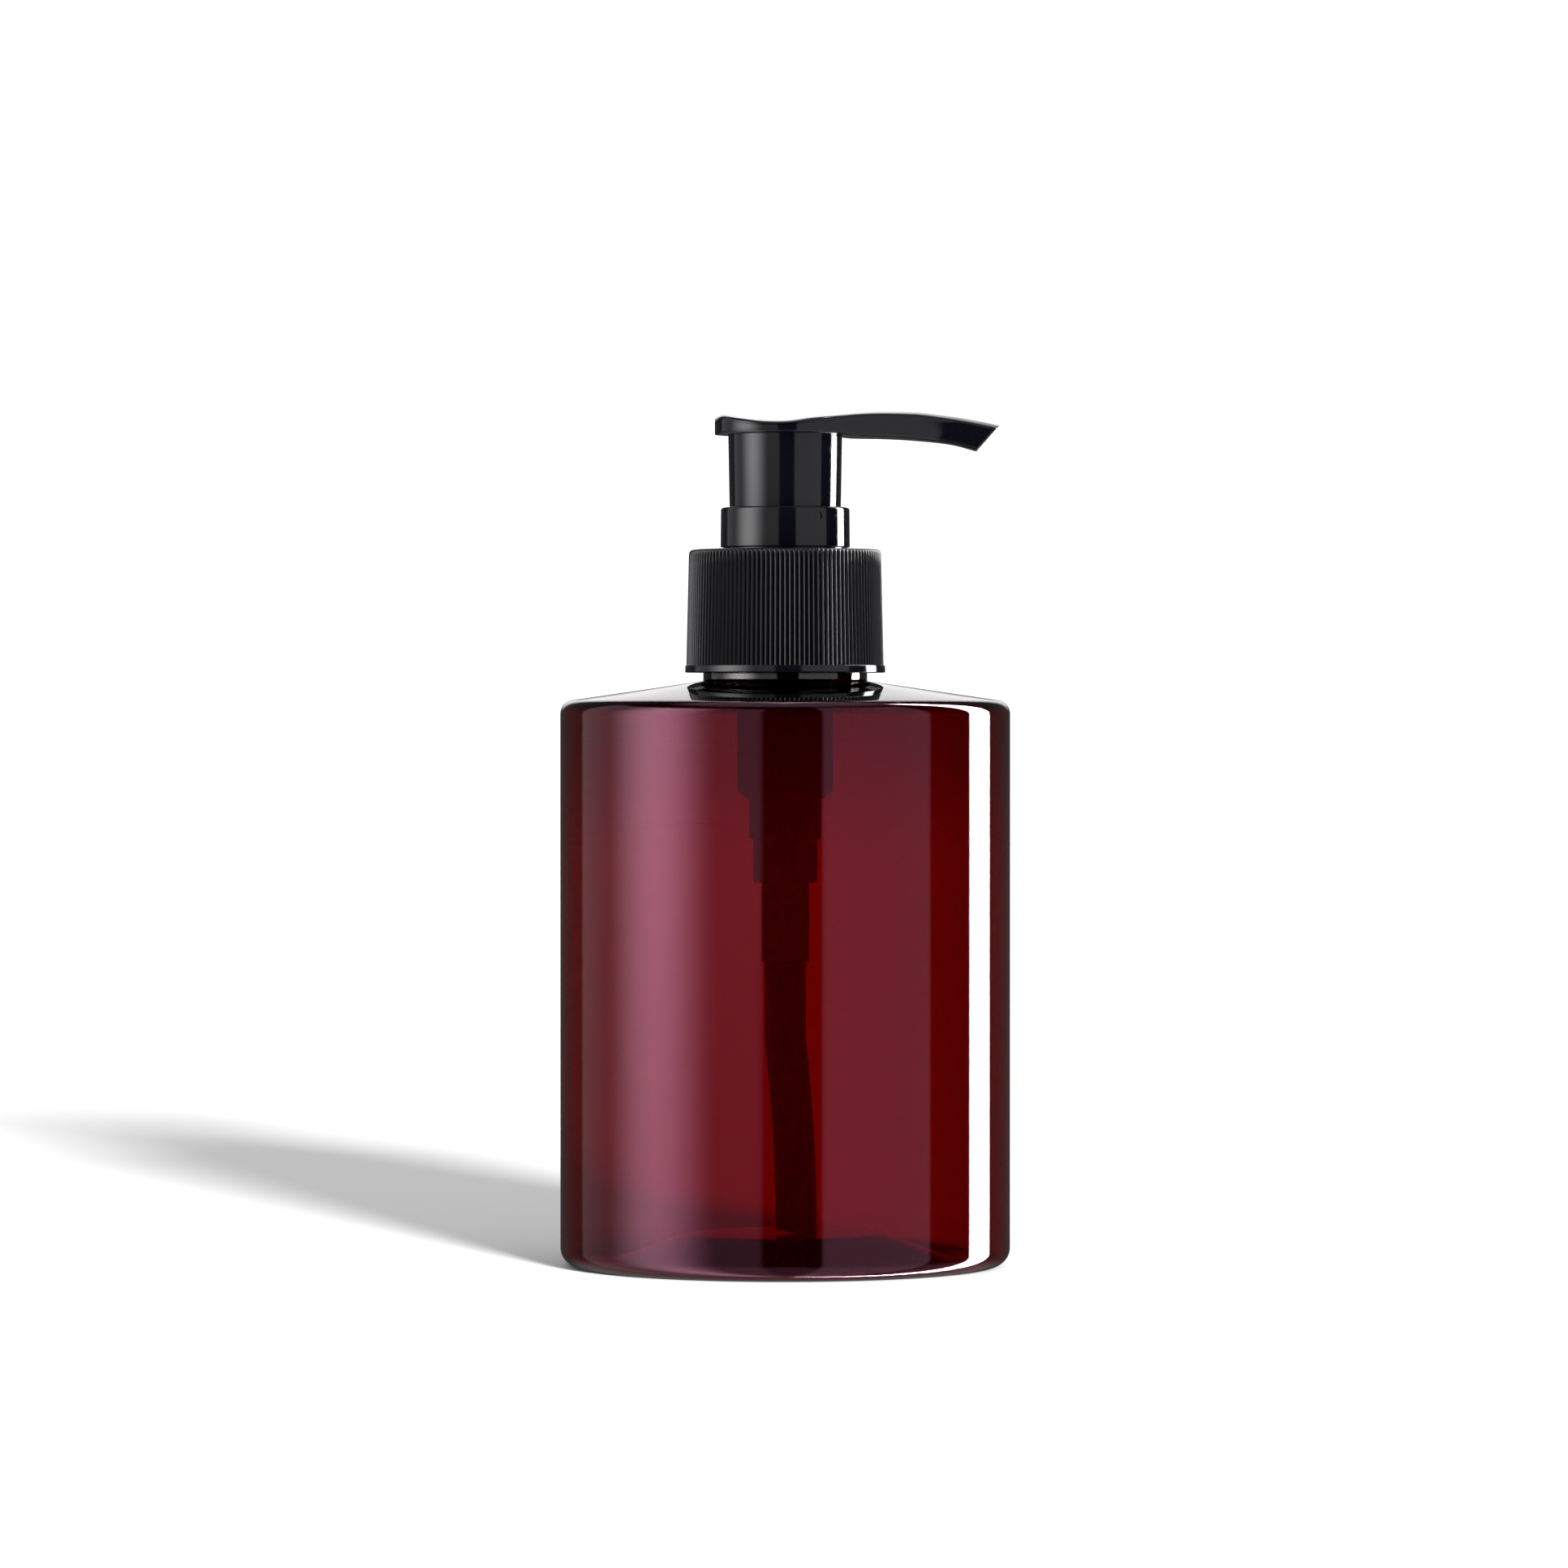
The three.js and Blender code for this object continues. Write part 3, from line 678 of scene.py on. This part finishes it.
class DISPENSER_OT_closure(bpy.types.Operator):
    """Build the screw closure with its grip ribs and internal thread"""

    bl_idname = "dispenser.closure"
    bl_label = "Closure"

    def execute(self, context):
        sizes = context.scene.dispenser_closure
        outline = closure_outline(sizes)
        fade_top = CLOSURE_TOP - 0.15 * MM
        fade_low = CLOSURE_TOP - 1.1 * MM

        def wave(phi, k):
            radius, height = outline[k]
            if radius < RIBS_OUTSIDE_R or height < sizes.rib_foot - 0.001 * MM:
                return 0.0
            fade = min(1.0, max(0.0, (fade_top - height) / (fade_top - fade_low)))
            turn = (phi * sizes.ribs / TURN) % 1.0
            crest = 0.5 - 0.5 * math.cos(TURN * turn)
            return -sizes.rib_depth * fade * (1.0 - crest ** RIB_SHAPE)

        mesh = bmesh.new()
        add_turned(mesh, outline, sizes.ribs * RIB_STEPS, wave)
        add_thread(mesh, CAP_BORE_R, CAP_THREAD_R, CLOSURE_BOTTOM + 5.25 * MM)
        settled(mesh, "closure_ribbed", satin_black(sizes.shade, sizes.rib_foot), "closure_body",
                "closure", sharp=50)
        return {"FINISHED"}


# ---------- lock collar ----------

class DISPENSER_OT_lock_collar(bpy.types.Operator):
    """Build the lock collar with its index dot"""

    bl_idname = "dispenser.lock_collar"
    bl_label = "Lock collar"

    def execute(self, context):
        mesh = bmesh.new()
        ring_bottom = CLOSURE_TOP + 0.3 * MM
        floor = RING_TOP - 12.2 * MM
        under = floor - 1.0 * MM
        well_bore = 9.7 * MM
        well_r = 10.3 * MM
        guide_bore = 4.2 * MM
        guide_r = 5.6 * MM
        corners = [
            (guide_bore, floor, 0),
            (guide_bore, GUIDE_BOTTOM, 0.2 * MM),
            (guide_r, GUIDE_BOTTOM, 0.3 * MM),
            (guide_r, under, 0.3 * MM),
            (well_r, under, 0.3 * MM),
            (well_r, ring_bottom, 0.05 * MM),
            (RING_R - 0.02 * MM, ring_bottom, 0.22 * MM),
            (RING_R - 0.08 * MM, RING_TOP, 1.15 * MM),
            (well_bore, RING_TOP, 0.22 * MM),
            (well_bore, floor, 0.5 * MM),
            (guide_bore, floor, 0),
        ]
        add_turned(mesh, rounded(corners), 160)
        self.add_dot(mesh)
        black = gloss_black(context.scene.dispenser_pump.gloss)
        settled(mesh, "lock_collar_moulded", black, "pump_body", "lock_collar")
        return {"FINISHED"}

    @staticmethod
    def add_dot(mesh):
        """A small raised dot, a rounded button with a soft foot."""
        radius = 0.62 * MM
        rise = 0.10 * MM
        sunk = -0.3 * MM
        profile = [(0.0, rise), (0.45 * radius, rise * 0.9), (0.75 * radius, rise * 0.6),
                   (0.98 * radius, rise * 0.15), (1.14 * radius, -0.02 * MM),
                   (1.14 * radius, sunk), (0.0, sunk)]
        dot = bmesh.new()
        add_turned(dot, profile, 32)
        swing = math.radians(-59)
        turn = Matrix.Rotation(swing, 4, "Z") @ Matrix.Rotation(math.pi / 2, 4, "Y")
        out = RING_R - 0.04 * MM
        where = Matrix.Translation((math.cos(swing) * out, math.sin(swing) * out,
                                    RING_TOP - 1.6 * MM))
        dot.transform(where @ turn)
        held = bpy.data.meshes.new("dot")
        dot.to_mesh(held)
        dot.free()
        mesh.from_mesh(held)
        bpy.data.meshes.remove(held)


# ---------- actuator head ----------

def through(points, x):
    """A smooth curve through (x, z) points, read at x."""
    count = len(points)
    k = 0
    while k < count - 2 and x > points[k + 1][0]:
        k += 1
    (x0, z0), (x1, z1) = points[k], points[k + 1]
    step = x1 - x0

    def slope(i):
        a, b = points[max(i - 1, 0)], points[min(i + 1, count - 1)]
        return (b[1] - a[1]) / (b[0] - a[0])

    t = min(1.0, max(0.0, (x - x0) / step))
    m0, m1 = slope(k) * step, slope(k + 1) * step
    return ((2 * t ** 3 - 3 * t ** 2 + 1) * z0 + (t ** 3 - 2 * t ** 2 + t) * m0
            + (3 * t ** 2 - 2 * t ** 3) * z1 + (t ** 3 - t ** 2) * m1)


REST_BOTTOM = HEAD_TOP - 3.9 * MM
TOP_LINE = [(x * MM, HEAD_TOP - drop * MM) for x, drop in (
    (-11.8, 1.35), (-11.2, 0.8), (-10.3, 0.52), (-7.7, 0.95), (-4.3, 1.42), (-1.5, 1.55),
    (0.9, 1.45), (4.3, 0.95), (7.8, 0.6), (12.4, 0.15), (16.0, 0.0), (21.7, 0.1),
    (25.4, 0.5), (29.3, 1.05), (33.1, 1.75), (36.0, 2.4))]
UNDER_LINE = [(x * MM, HEAD_TOP - drop * MM) for x, drop in (
    (9.0, 4.0), (10.8, 4.28), (16.0, 4.45), (20.5, 4.7), (26.4, 5.3), (29.3, 5.85),
    (31.9, 6.6))]
TIP_X = NOZZLE_TIP - 1.95 * MM  # of the tip's face, at the height that the lean turns about
TIP_LEAN = 0.88  # how far the face leans out for each unit of height
BORE_R = 1.35 * MM
BORE_RISE = 0.15  # how far the outlet climbs inward
FLARE_X = 6.77 * MM  # the disc ends and the flare into the nozzle starts
FLARE_DROP = 2.6 * MM  # what the flare takes off the half width
FLARE_REACH = 5.0 * MM
PARALLEL_X = 26.7 * MM  # the nozzle's sides are nearly parallel from here on
TAPER = 0.15
TIP_TAPER = 0.03


def half_width(x):
    """Half the head's width: a disc, a flare that narrows, and a nearly parallel tip."""
    if x < FLARE_X:
        return math.sqrt(max(REST_R ** 2 - x ** 2, 0.0))
    run = x - FLARE_X
    reach = PARALLEL_X - FLARE_X
    soft = 1.2 * MM
    taper = 0.5 * (run + reach - math.sqrt((run - reach) ** 2 + soft ** 2))
    flare = FLARE_DROP * (1 - math.exp(-run / FLARE_REACH))
    start = math.sqrt(REST_R ** 2 - FLARE_X ** 2)
    return start - TAPER * taper - TIP_TAPER * run - flare


def head_section(x, shrink=0.0):
    """One closed loop across the head at x; it leans more towards the slanted tip."""
    lean = TIP_LEAN * smoothstep(19 * MM, 33.8 * MM, x)
    middle = HEAD_TOP - 4.4 * MM
    top_x = under_x = x
    for _ in range(3):
        top_z = through(TOP_LINE, top_x)
        under_z = REST_BOTTOM
        if under_x > 9 * MM:
            under_z = min(REST_BOTTOM, through(UNDER_LINE, under_x))
        top_x = x + lean * (top_z - middle)
        under_x = x + lean * (under_z - middle)
    top_z -= shrink
    under_z += shrink
    wide = half_width(x) - shrink
    corner = min(0.75 * MM, 0.45 * wide)
    foot = min(0.45 * MM, 0.4 * wide)
    crown = 0.62 * MM * min(1.0, wide / (3 * MM))
    shoulder = top_z - crown
    loop = []
    across = 14
    for i in range(across + 1):
        t = -1 + 2 * i / across
        y = t * (wide - corner)
        loop.append((y, top_z - crown * t * t * 0.75))
    loop += [(wide - corner * (1 - math.sin(a)), shoulder + crown * 0.25 - corner * (1 - math.cos(a)))
             for a in (math.radians(v) for v in (22, 45, 68, 90))]
    loop += [(wide, shoulder - (shoulder - under_z) * k / 4) for k in (1, 2, 3)]
    loop += [(wide - foot * (1 - math.cos(a)), under_z + foot * (1 - math.sin(a)))
             for a in (math.radians(v) for v in (0, 30, 60, 90))]
    for i in range(1, 10):
        loop.append(((wide - foot) * (1 - i / 5), under_z))
    loop += [(-wide + foot * (1 - math.sin(a)), under_z + foot * (1 - math.cos(a)))
             for a in (math.radians(v) for v in (0, 30, 60, 90))]
    loop += [(-wide, under_z + foot + (shoulder - under_z - foot) * k / 4) for k in (1, 2, 3)]
    loop += [(-wide + corner * (1 - math.cos(a)), shoulder + crown * 0.25 - corner * (1 - math.sin(a)))
             for a in (math.radians(v) for v in (0, 22, 45, 68))]
    return [(x + lean * (z - middle), y, z) for y, z in loop]


def head_top(mesh):
    """Skins the thumb rest and nozzle, with the outlet sunk into the slanted tip."""
    rows = []
    for i in range(26):
        rows.append(head_section(-REST_R * math.cos(math.radians(1.5 + 88.5 * i / 25))))
    steps = 50
    rows += [head_section(TIP_X * (i + 1) / steps) for i in range(steps)]
    rows += [head_section(TIP_X + 0.1 * MM, 0.05 * MM), head_section(TIP_X + 0.15 * MM, 0.17 * MM)]
    face = rows[-1]
    count = len(face)
    centre = sum((Vector(p) for p in face), Vector()) / count

    def outlet(inward, radius):
        row = []
        for point in face:
            spread = Vector(point) - centre
            turn = math.atan2(spread.z, spread.y)
            up = radius * math.sin(turn)
            row.append((centre.x + TIP_LEAN * up - inward, radius * math.cos(turn),
                        centre.z + up + BORE_RISE * inward))
        return row

    rows += [outlet(0, BORE_R + 0.25 * MM), outlet(0.08 * MM, BORE_R + 0.05 * MM)]
    rows += [outlet(inward * MM, BORE_R) for inward in (0.3, 2, 4, 6)]
    add_grid(mesh, rows)


class DISPENSER_OT_head(bpy.types.Operator):
    """Build the press-down head with its nozzle, skirt and stem socket"""

    bl_idname = "dispenser.head"
    bl_label = "Head"

    def execute(self, context):
        mesh = bmesh.new()
        head_top(mesh)
        roof = REST_BOTTOM + 0.8 * MM
        skirt_bore = 8.4 * MM
        skirt_top_r = 9.5 * MM
        skirt = rounded([
            (skirt_bore, roof, 0),
            (skirt_bore, SKIRT_BOTTOM, 0.2 * MM),
            (9.27 * MM, SKIRT_BOTTOM, 0.3 * MM),
            (skirt_top_r, REST_BOTTOM, 0),
            (skirt_top_r, roof, 0),
            (skirt_bore, roof, 0),
        ])
        add_turned(mesh, skirt, 128)
        socket_bore = 4.05 * MM
        socket_r = 5.4 * MM
        socket_bottom = SKIRT_BOTTOM + 1.2 * MM
        socket = rounded([
            (socket_bore, roof, 0),
            (socket_bore, socket_bottom, 0.3 * MM),
            (socket_r, socket_bottom, 0.3 * MM),
            (socket_r, roof, 0),
            (socket_bore, roof, 0),
        ])
        add_turned(mesh, socket, 96)
        black = gloss_black(context.scene.dispenser_pump.gloss)
        settled(mesh, "head_moulded", black, "head_body", "actuator_head",
                sharp=38)
        return {"FINISHED"}


# ---------- pieces inside ----------

class DISPENSER_OT_housing(bpy.types.Operator):
    """Build the pump housing, from its flange down to the tube socket"""

    bl_idname = "dispenser.housing"
    bl_label = "Pump housing"

    def execute(self, context):
        pump = context.scene.dispenser_pump
        base = HOUSING_BOTTOM
        stop = base + 12.1 * MM
        socket_top = base + 13.2 * MM
        cage_floor = base + 18.6 * MM
        waist = base + 20.6 * MM
        cage_top = base + 21.3 * MM
        cone = base + 27.2 * MM
        chamber_floor = base + 28.7 * MM
        chamber_top = base + 61.3 * MM
        cup_floor = base + 62.2 * MM
        flange = HOUSING_TOP - 1.42 * MM
        bore = pump.bore / MM
        corners = [(r * MM, z, f * MM) for r, z, f in (
            (3.52, base, 0), (4.0, base, 0.15), (4.0, socket_top, 0.3),
            (5.35, socket_top, 0.5), (5.35, waist, 0.2), (6.0, waist, 0.35), (6.0, cone, 0.3),
            (8.0, chamber_floor, 0.5), (8.0, chamber_top, 0.4),
            (11.3, chamber_top, 0.4), (11.3, flange, 0.2), (13.3, flange, 0.2),
            (13.3, HOUSING_TOP, 0.2), (10.5, HOUSING_TOP, 0.3), (10.5, cup_floor, 0.3),
            (bore, cup_floor, 0.3), (bore, chamber_floor, 0.3),
            (5.15, cone, 0.3), (5.15, cage_top, 0.2),
            (2.75, cage_top, 0.3), (2.75, cage_floor, 0.2),
            (3.7, cage_floor, 0.1), (3.7, base + 15.3 * MM, 0.3),
            (2.0, base + 12.9 * MM, 0.1), (2.0, stop, 0.1),
            (3.52, stop, 0.1), (3.52, base, 0))]
        mesh = bmesh.new()
        add_turned(mesh, rounded(corners), 128)
        finish = natural_plastic("natural_housing", pump.natural, pump.housing_clarity, 0.42)
        made = settled(mesh, "housing_stepped", finish, "pump_body", "pump_housing")
        drill = bmesh.new()
        vent_r = 0.6 * MM
        place = Matrix.Translation((0, 8 * MM, chamber_top - 3 * MM))
        bmesh.ops.create_cone(drill, cap_ends=True, segments=32, radius1=vent_r, radius2=vent_r,
                              depth=4 * MM, matrix=place @ Matrix.Rotation(math.pi / 2, 4, "X"))
        cut(made, loose(drill, "vent_drill"))
        smoothed(made)
        return {"FINISHED"}


class DISPENSER_OT_dip_tube(bpy.types.Operator):
    """Build the dip tube, straight in its socket and set a little to one side below"""

    bl_idname = "dispenser.dip_tube"
    bl_label = "Dip tube"

    def execute(self, context):
        pump = context.scene.dispenser_pump
        bore = TUBE_R - 0.85 * MM
        tip = TUBE_BOTTOM + 0.55 * MM
        bend = 38.0 * MM
        rows = []
        steps = 60
        for i in range(steps + 1):
            z = TUBE_TOP + (tip - TUBE_TOP) * i / steps
            fall = max(0.0, (bend - z) / (bend - tip))
            x = TUBE_SET * (1 - (1 - fall) ** 2)
            slant = 0.158 * smoothstep(20 * MM, tip, z)
            rows.append((x, z, slant))
        mesh = bmesh.new()
        sides = 56
        skin = []
        for radius, order in ((TUBE_R, rows), (bore, list(reversed(rows)))):
            for x, z, slant in order:
                skin.append([(x + radius * math.cos(TURN * k / sides),
                              radius * math.sin(TURN * k / sides),
                              z - slant * radius * math.cos(TURN * k / sides))
                             for k in range(sides)])
        add_grid(mesh, skin + [skin[0]], ends=False)
        finish = natural_plastic("natural_tube", pump.natural, pump.tube_clarity, 0.25)
        settled(mesh, "dip_tube_cut", finish, "pump_body", "dip_tube")
        return {"FINISHED"}


class DISPENSER_OT_valve_parts(bpy.types.Operator):
    """Build the stem, piston rod, piston seal, gasket and inlet ball"""

    bl_idname = "dispenser.valve_parts"
    bl_label = "Stem, piston and valves"

    def execute(self, context):
        natural = natural_plastic("natural_stem", context.scene.dispenser_pump.natural, 0.5, 0.28)
        self.stem(natural)
        self.rod(natural)
        self.seal()
        self.gasket()
        self.ball()
        return {"FINISHED"}

    @staticmethod
    def stem(finish):
        stop_low = STEM_BOTTOM + 5.0 * MM
        stop_high = STEM_BOTTOM + 6.3 * MM
        mesh = bmesh.new()
        add_turned(mesh, rounded([(r * MM, z, f * MM) for r, z, f in (
            (2.6, STEM_TOP - 8 * MM, 0), (2.6, STEM_BOTTOM, 0.15), (4.0, STEM_BOTTOM, 0.3),
            (4.0, stop_low, 0.15), (STOP_R / MM, stop_low, 0.2), (STOP_R / MM, stop_high, 0.2),
            (4.0, stop_high, 0.15), (4.0, STEM_TOP, 0.3), (2.6, STEM_TOP, 0.3),
            (2.6, STEM_TOP - 8 * MM, 0))]), 96)
        settled(mesh, "stem_hollow", finish, "plunger_body", "main_stem")

    @staticmethod
    def rod(finish):
        mesh = bmesh.new()
        add_turned(mesh, rounded([(r * MM, z, f * MM) for r, z, f in (
            (0, VALVE_BOTTOM, 0), (5.2, VALVE_BOTTOM, 0.25), (5.2, VALVE_BOTTOM + 1 * MM, 0.25),
            (1.7, VALVE_BOTTOM + 3 * MM, 0.4), (1.7, ROD_TOP, 0.4), (0, ROD_TOP, 0))]), 96)
        low = STEM_BOTTOM + 0.5 * MM
        for swing in (0, math.pi / 2):
            fin = bmesh.ops.create_cube(mesh, size=1.0)["verts"]
            shape = Matrix.Diagonal((5.08 * MM, 0.9 * MM, ROD_TOP - low, 1))
            place = Matrix.Translation((0, 0, (low + ROD_TOP) / 2))
            bmesh.ops.transform(mesh, verts=fin,
                                matrix=place @ Matrix.Rotation(swing, 4, "Z") @ shape)
            edges = list({e for v in fin for e in v.link_edges})
            bmesh.ops.bevel(mesh, geom=edges, offset=0.15 * MM, segments=3, profile=0.5,
                            affect="EDGES")
        settled(mesh, "rod_finned", finish, "plunger_body", "piston_rod")

    @staticmethod
    def seal():
        low = SEAL_BOTTOM
        top = SEAL_TOP
        mesh = bmesh.new()
        add_turned(mesh, rounded([(r * MM, z, f * MM) for r, z, f in (
            (4.08, low + 3 * MM, 0), (4.08, low, 0.1), (4.95, low + 0.3 * MM, 0.15),
            (4.95, low + 4.0 * MM, 0.3), (5.58, low + 4.0 * MM, 0.3), (6.48, low + 0.8 * MM, 0.1),
            (7.03, low + 0.8 * MM, 0.1), (7.03, low + 1.8 * MM, 0.4), (6.2, low + 3.4 * MM, 0.5),
            (6.2, top - 2.6 * MM, 0.5), (7.03, top - 1 * MM, 0.4), (7.03, top, 0.1),
            (6.48, top, 0.1), (5.58, top - 2.6 * MM, 0.3), (4.95, top - 2.6 * MM, 0.3),
            (4.95, top - 1.6 * MM, 0.2), (4.08, top - 1.6 * MM, 0.2),
            (4.08, low + 3 * MM, 0))]), 96)
        settled(mesh, "seal_lipped", soft_seal(), "seal_body", "piston_seal")

    @staticmethod
    def gasket():
        mesh = bmesh.new()
        middle = (GASKET_BOTTOM + GASKET_TOP) / 2
        bore = 11.9 * MM
        add_turned(mesh, rounded([
            (bore, middle, 0), (bore, GASKET_BOTTOM, 0.15 * MM),
            (GASKET_R, GASKET_BOTTOM, 0.2 * MM), (GASKET_R, GASKET_TOP, 0.2 * MM),
            (bore, GASKET_TOP, 0.15 * MM), (bore, middle, 0)]), 96)
        settled(mesh, "gasket_cut", gasket_foam(), "pump_body", "gasket")

    @staticmethod
    def ball():
        mesh = bmesh.new()
        bmesh.ops.create_icosphere(mesh, subdivisions=5, radius=3.0 * MM,
                                   matrix=Matrix.Translation((0, 0, (BALL_BOTTOM + BALL_TOP) / 2)))
        settled(mesh, "ball_polished", polished_steel(), "ball_body", "inlet_ball")


class DISPENSER_OT_spring(bpy.types.Operator):
    """Wind the return spring, with closed end coils"""

    bl_idname = "dispenser.spring"
    bl_label = "Spring"

    def execute(self, context):
        pump = context.scene.dispenser_pump
        wire = pump.wire
        low = SPRING_BOTTOM + wire
        high = SPRING_TOP - wire
        closed = 0.75 / pump.coils
        flat = 2.1 * wire * 0.75

        def height(t):
            rise = high - low - 2 * flat
            if t < closed:
                return low + flat * t / closed
            if t > 1 - closed:
                return high - flat * (1 - t) / closed
            return low + flat + rise * (t - closed) / (1 - 2 * closed)

        mesh = bmesh.new()
        middle_r = 4.3 * MM
        add_helix(mesh, circle(wire, 14), middle_r, height, pump.coils, 64)
        made = settled(mesh, "return_spring", drawn_steel(), "pump_body", "spring")
        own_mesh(made)
        return {"FINISHED"}


# ---------- stage ----------

PANEL_STRENGTH = {"left": 0.5, "glow": 4.0, "right": 0.63, "strip": 30.0, "back": 1.25,
                  "over": 0.6, "under": 0.28, "edges": 0.05, "dark": 0.006}
CAMERA_X = -0.2 * MM
FLOOR_R = 30.0
FLOOR_GAP = 0.02 * MM


def softbox(maker, phi, rise, low, high, soft, top):
    """1 inside a panel that spans low to high degrees round the object, 0 outside it."""
    inside = maker.smooth(phi, low - soft, low + soft) * (
        1 - maker.smooth(phi, high - soft, high + soft))
    return inside * (1 - maker.smooth(rise, top - 4, top + 4))


def studio_world(stage):
    """White room for sight lines and fill; panels and flags for reflections."""
    world = bpy.data.worlds.new("studio")
    bpy.context.scene.world = world
    world.use_nodes = True
    maker = Maker(world.node_tree)
    direction = maker.node("ShaderNodeTexCoord", output=0)
    split = maker.node("ShaderNodeSeparateXYZ", None, {0: direction})
    y = Value(maker, split.socket.node.outputs[1])
    z = Value(maker, split.socket.node.outputs[2])
    to_degrees = 180 / math.pi
    phi = split.math("ARCTAN2", split, y * -1.0) * to_degrees
    rise = z.math("ARCSINE", z) * to_degrees
    side = phi.math("ABSOLUTE", phi)

    left = softbox(maker, phi, rise, -127, -12, 2, 42)
    glow = maker.smooth(phi, -104, -68) * (1 - maker.smooth(phi, -68, -34))
    right = softbox(maker, phi, rise, 19, 79, 1.5, 52)
    strip = softbox(maker, phi, rise, 109, 128.5, 1.2, 60)
    back = maker.smooth(side, 160, 172) * maker.smooth(rise, 2.0, 8.0)
    over = maker.smooth(rise, 56, 68)
    under = 1 - maker.smooth(rise, -34, -12)
    edges = maker.smooth(side, 124, 130)
    fade = 0.66 + 0.34 * maker.smooth(rise, -6, 0.5)
    power = PANEL_STRENGTH
    panels = (left * (power["left"] + power["glow"] * glow) * fade + power["right"] * right
              + power["strip"] * strip + power["back"] * back + power["over"] * over
              + power["under"] * under + power["edges"] * edges + power["dark"])

    rays = maker.node("ShaderNodeLightPath").socket.node.outputs
    camera = Value(maker, rays["Is Camera Ray"])
    through_wall = Value(maker, rays["Is Transmission Ray"])
    scattered = Value(maker, rays["Diffuse Depth"])
    scattered = scattered.math("MINIMUM", scattered, 1.0)
    mirrored = Value(maker, rays["Is Glossy Ray"]) * (1 - through_wall)
    ceiling = 1.03 - 0.95 * maker.smooth(rise, 4, 20)  # dark overhead, seen through the walls
    sight = camera.math("MAXIMUM", camera, through_wall * (1 - scattered) * ceiling)
    into_bottle = through_wall * scattered
    fill = (1 - camera) * (1 - through_wall) * (1 - mirrored)
    strength = (sight * stage.backdrop + mirrored * panels + fill * stage.fill
                + into_bottle * stage.inner_fill)
    light = maker.node("ShaderNodeBackground", None,
                       {"Color": (1.0, 1.0, 1.0, 1), "Strength": strength})
    maker.node("ShaderNodeOutputWorld", None, {"Surface": light})


def key_light(stage, floor):
    """A low and soft sun, flagged off the object, that whitens the floor and casts one shadow."""
    data = bpy.data.lights.new("key_light", "SUN")
    data.energy = stage.key
    data.angle = stage.key_softness
    made = bpy.data.objects.new("key_light", data)
    level = math.cos(stage.key_rise)
    towards = Vector((math.sin(stage.key_swing) * level, -math.cos(stage.key_swing) * level,
                      math.sin(stage.key_rise)))
    made.rotation_euler = (-towards).to_track_quat("-Z", "Y").to_euler()
    made.visible_glossy = False
    lit = bpy.data.collections.new("key_light_reaches")
    lit.objects.link(floor)
    made.light_linking.receiver_collection = lit
    bpy.context.scene.collection.objects.link(made)


class DISPENSER_OT_stage(bpy.types.Operator):
    """Set the camera, the pale floor and the soft studio light"""

    bl_idname = "dispenser.stage"
    bl_label = "Stage"

    def execute(self, context):
        stage = context.scene.dispenser_stage
        data = bpy.data.cameras.new("camera")
        data.lens = stage.lens
        data.sensor_width = 36
        data.clip_start = 0.01
        camera = bpy.data.objects.new("camera", data)
        place = Vector((CAMERA_X, -stage.distance, stage.eye))
        camera.location = place
        aim = Vector((CAMERA_X, 0, stage.aim)) - place
        camera.rotation_euler = aim.to_track_quat("-Z", "Y").to_euler()
        context.scene.collection.objects.link(camera)
        context.scene.camera = camera
        context.scene.view_settings.view_transform = "Standard"

        mesh = bmesh.new()
        bmesh.ops.create_circle(mesh, cap_ends=True, segments=96, radius=FLOOR_R,
                                matrix=Matrix.Translation((0, 0, FOOT_Z - FLOOR_GAP)))
        floor = loose(mesh, "studio_floor")
        floor.data.materials.append(floor_paper(stage.floor))
        floor.visible_glossy = False
        studio_world(stage)
        key_light(stage, floor)
        return {"FINISHED"}


# ---------- panel and registration ----------

OPERATORS = (
    DISPENSER_OT_stage,
    DISPENSER_OT_bottle,
    DISPENSER_OT_closure,
    DISPENSER_OT_lock_collar,
    DISPENSER_OT_head,
    DISPENSER_OT_housing,
    DISPENSER_OT_dip_tube,
    DISPENSER_OT_valve_parts,
    DISPENSER_OT_spring,
)


class DISPENSER_PT_build(bpy.types.Panel):
    """Lists the pieces in the sidebar"""

    bl_idname = "DISPENSER_PT_build"
    bl_label = "Dispenser"
    bl_space_type = "VIEW_3D"
    bl_region_type = "UI"
    bl_category = "Dispenser"

    def draw(self, context):
        for operator in OPERATORS:
            self.layout.operator(operator.bl_idname)


def register():
    for group in GROUPS.values():
        bpy.utils.register_class(group)
    for name, group in GROUPS.items():
        setattr(bpy.types.Scene, name, PointerProperty(type=group))
    for item in (*OPERATORS, DISPENSER_PT_build):
        bpy.utils.register_class(item)


def unregister():
    for item in (DISPENSER_PT_build, *reversed(OPERATORS)):
        bpy.utils.unregister_class(item)
    for name, group in GROUPS.items():
        delattr(bpy.types.Scene, name)
        bpy.utils.unregister_class(group)


def main():
    register()
    for operator in OPERATORS:
        area, name = operator.bl_idname.split(".")
        getattr(getattr(bpy.ops, area), name)()


if __name__ == "__main__":
    main()
